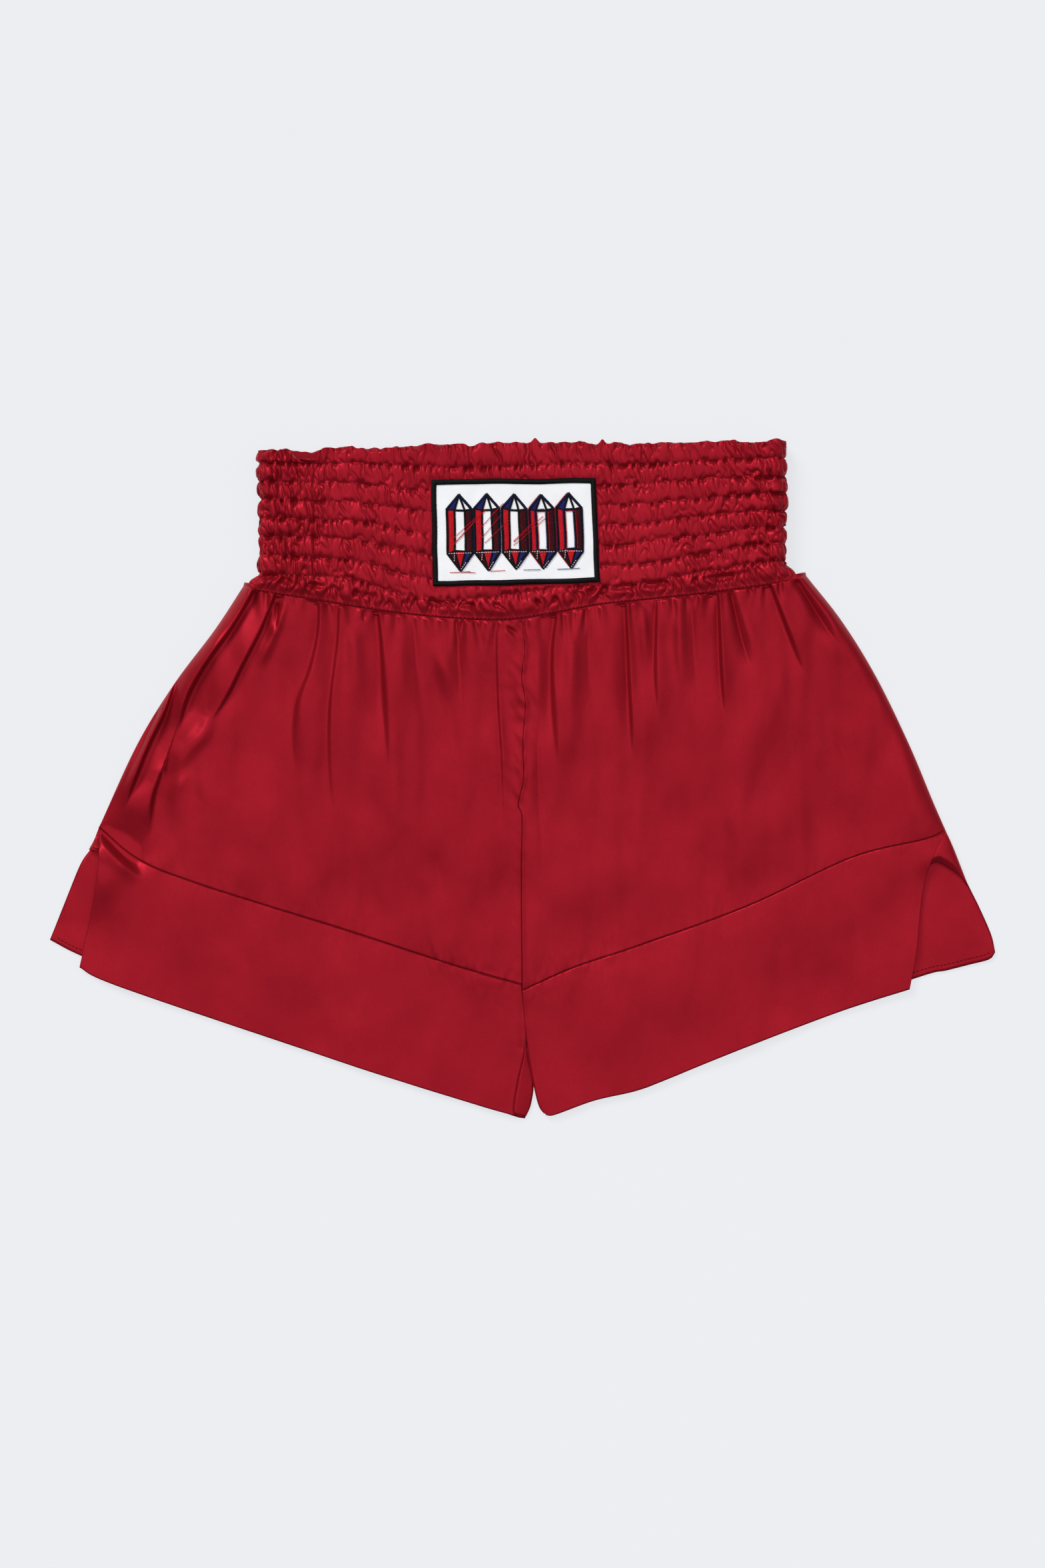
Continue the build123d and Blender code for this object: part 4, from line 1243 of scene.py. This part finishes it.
def strikes(seed, numbers, count, reach, slope):
    """Sketch lines struck across some of the gems."""
    rng = np.random.default_rng(seed)
    runs = []
    for number in numbers:
        for _ in range(count):
            a = gem_corner(number, "base_left") + rng.uniform((-4, 2), (3, 14))
            length = reach * rng.uniform(0.6, 1.1)
            runs.append(sketch_run(a, a + np.array([length, length * slope * rng.uniform(0.85, 1.15)])))
    return runs


def echoes(number, shift, labels):
    """Outline of a gem drawn a second time, a little to one side."""
    corners = [gem_corner(number, label) + np.array(shift) for label in labels]
    return [sketch_run(a, b) for a, b in zip(corners[:-1], corners[1:])]


RUNNING = {"Radius": 0.27 * MM, "Arch": 0.15 * MM, "Taper": 0.3, "Jitter": 0.06 * MM, "Sides": 5,
           "Segments": 4}
RIGHT_SIDE = ("crown", "right_shoulder", "right_hip", "foot")
LEFT_SIDE = ("crown", "left_shoulder", "left_hip", "foot")
TABLE = ("table_left", "table_right", "base_right", "base_left", "table_left")
red_runs = strikes(81, (0, 1, 2), 3, 21, 0.95)
navy_runs = []
for number in range(GEM_COUNT):
    navy_runs += echoes(number, (0.9, -0.7), RIGHT_SIDE)
    navy_runs += echoes(number, (0.8, 0.9), ("left_shoulder", "crown"))
    if number > 2:
        red_runs += echoes(number, (-1.0, 0.5), LEFT_SIDE) + echoes(number, (0.9, -0.9), TABLE)
        navy_runs += echoes(number, (-0.9, 0.8), TABLE)
floor_left, floor_right = gem_corner(0, "foot") + (-7, -1.2), gem_corner(4, "foot") + (8, -0.8)
for share_from, share_to, rise in ((0.0, 0.16, 0.0), (0.08, 0.2, -0.8), (0.3, 0.42, 0.3)):
    red_runs.append(sketch_run(mix(floor_left, floor_right, share_from),
                               mix(floor_left, floor_right, share_to) + (0, rise)))
for share_from, share_to in ((0.55, 0.68), (0.8, 0.97)):
    navy_runs.append(sketch_run(mix(floor_left, floor_right, share_from),
                                mix(floor_left, floor_right, share_to)))
sew_runs("sketch_lines_red", red_runs, BADGE_RED, "badge_thread_red", [], **RUNNING)
sew_runs("sketch_lines_navy", navy_runs, BADGE_NAVY, "badge_thread_navy", [], **RUNNING)

runs = []
for number in range(GEM_COUNT):
    left, foot = gem_corner(number, "left_hip"), gem_corner(number, "foot")
    right, base = gem_corner(number, "right_hip"), gem_corner(number, "base_left")
    for a, b in ((left, right), (mix(left, foot, 0.5), base), (mix(right, foot, 0.5), foot)):
        runs.append(stitches_on(on_badge(curve_through([a, b], np.linspace(0, 1, 20)), 0.6),
                                0.8, 0.7, 0.0))
sew_runs("sketch_lines_white", runs, BADGE_WHITE_THREAD, "badge_white", [], **RUNNING)

# ------------------------------------------------------------------ pieces looked up by name, nothing kept
def cut(rests_on):
    """Looks up the named pieces among those made here; the list is not kept."""
    rests_on = [MADE[other] if other in MADE else other for other in rests_on]


for side in ("left", "right"):
    cut([f"back_{side}_panel"])
    cut(["floor"])
    cut([f"back_{side}_hem_band"])
    cut(["floor"])
cut(["back_left_hem_band"])
cut(["back_right_hem_band"])
cut(["elastic_1", "elastic_8"])
cut(["elastic_1", "elastic_8"])
for layer in ("front", "back"):
    cut(["elastic_1", "elastic_8"])
cut(["waistband_front_shell"])

# ------------------------------------------------------------------ camera, light and floor
def make_stage():
    """Pale floor that the shorts lie on."""
    floor_mesh = bpy.data.meshes.new("floor")
    half = 6.0
    floor_mesh.from_pydata([(-half, -half, 0), (half, -half, 0), (half, half, 0), (-half, half, 0)],
                           [], [(0, 1, 2, 3)])
    floor = bpy.data.objects.new("floor", floor_mesh)
    bpy.context.collection.objects.link(floor)
    material, tree, shader, place = new_material("pale_floor")
    mottle = place_group(tree, MOTTLE, place, Patches_per_metre=1.0)
    tree.links.new(colour_between(tree, mottle.outputs["Patches"], (0.16, 0.16, 0.163),
                                  (0.165, 0.165, 0.168)), shader.inputs["Base Color"])
    shader.inputs["Roughness"].default_value = 0.9
    shader.inputs["Specular IOR Level"].default_value = 0.0
    shader.inputs["Emission Color"].default_value = (0.838, 0.857, 0.890, 1)
    shader.inputs["Emission Strength"].default_value = 0.822
    floor.data.materials.append(material)


def add_sun(name, towards, strength, spread):
    """Soft light from far away; towards is the direction it comes from, spread its width in degrees."""
    light = bpy.data.lights.new(name, "SUN")
    light.energy = strength
    light.angle = math.radians(spread)
    lamp = bpy.data.objects.new(name, light)
    lamp.rotation_euler = Vector(towards).to_track_quat("Z", "Y").to_euler()
    bpy.context.collection.objects.link(lamp)


make_stage()
add_sun("key_softbox", (-0.62, 0.82, 0.80), 1.85, 24)
add_sun("fill_softbox", (0.85, -0.1, 0.9), 0.35, 50)
add_sun("overhead_softbox", (-0.06, 0.20, 1.0), 1.16, 60)
world = bpy.data.worlds.new("studio")
world.use_nodes = True
world.node_tree.nodes["Background"].inputs["Color"].default_value = (0.9, 0.93, 1.0, 1)
world.node_tree.nodes["Background"].inputs["Strength"].default_value = 0.14
bpy.context.scene.world = world
bpy.context.scene.view_settings.view_transform = "Standard"

LENS, SENSOR = 100.0, 36.0
VIEW_TO_SHORTS = 2.3104  # the camera's view is this many times as tall as the shorts
VIEW_HEIGHT = HALF_LENGTH * MM * 2 * VIEW_TO_SHORTS
camera_data = bpy.data.cameras.new("camera")
camera_data.lens = LENS
camera_data.sensor_width = SENSOR
camera = bpy.data.objects.new("camera", camera_data)
camera.location = (0, -0.002, VIEW_HEIGHT * LENS / SENSOR + 0.008)
bpy.context.collection.objects.link(camera)
bpy.context.scene.camera = camera
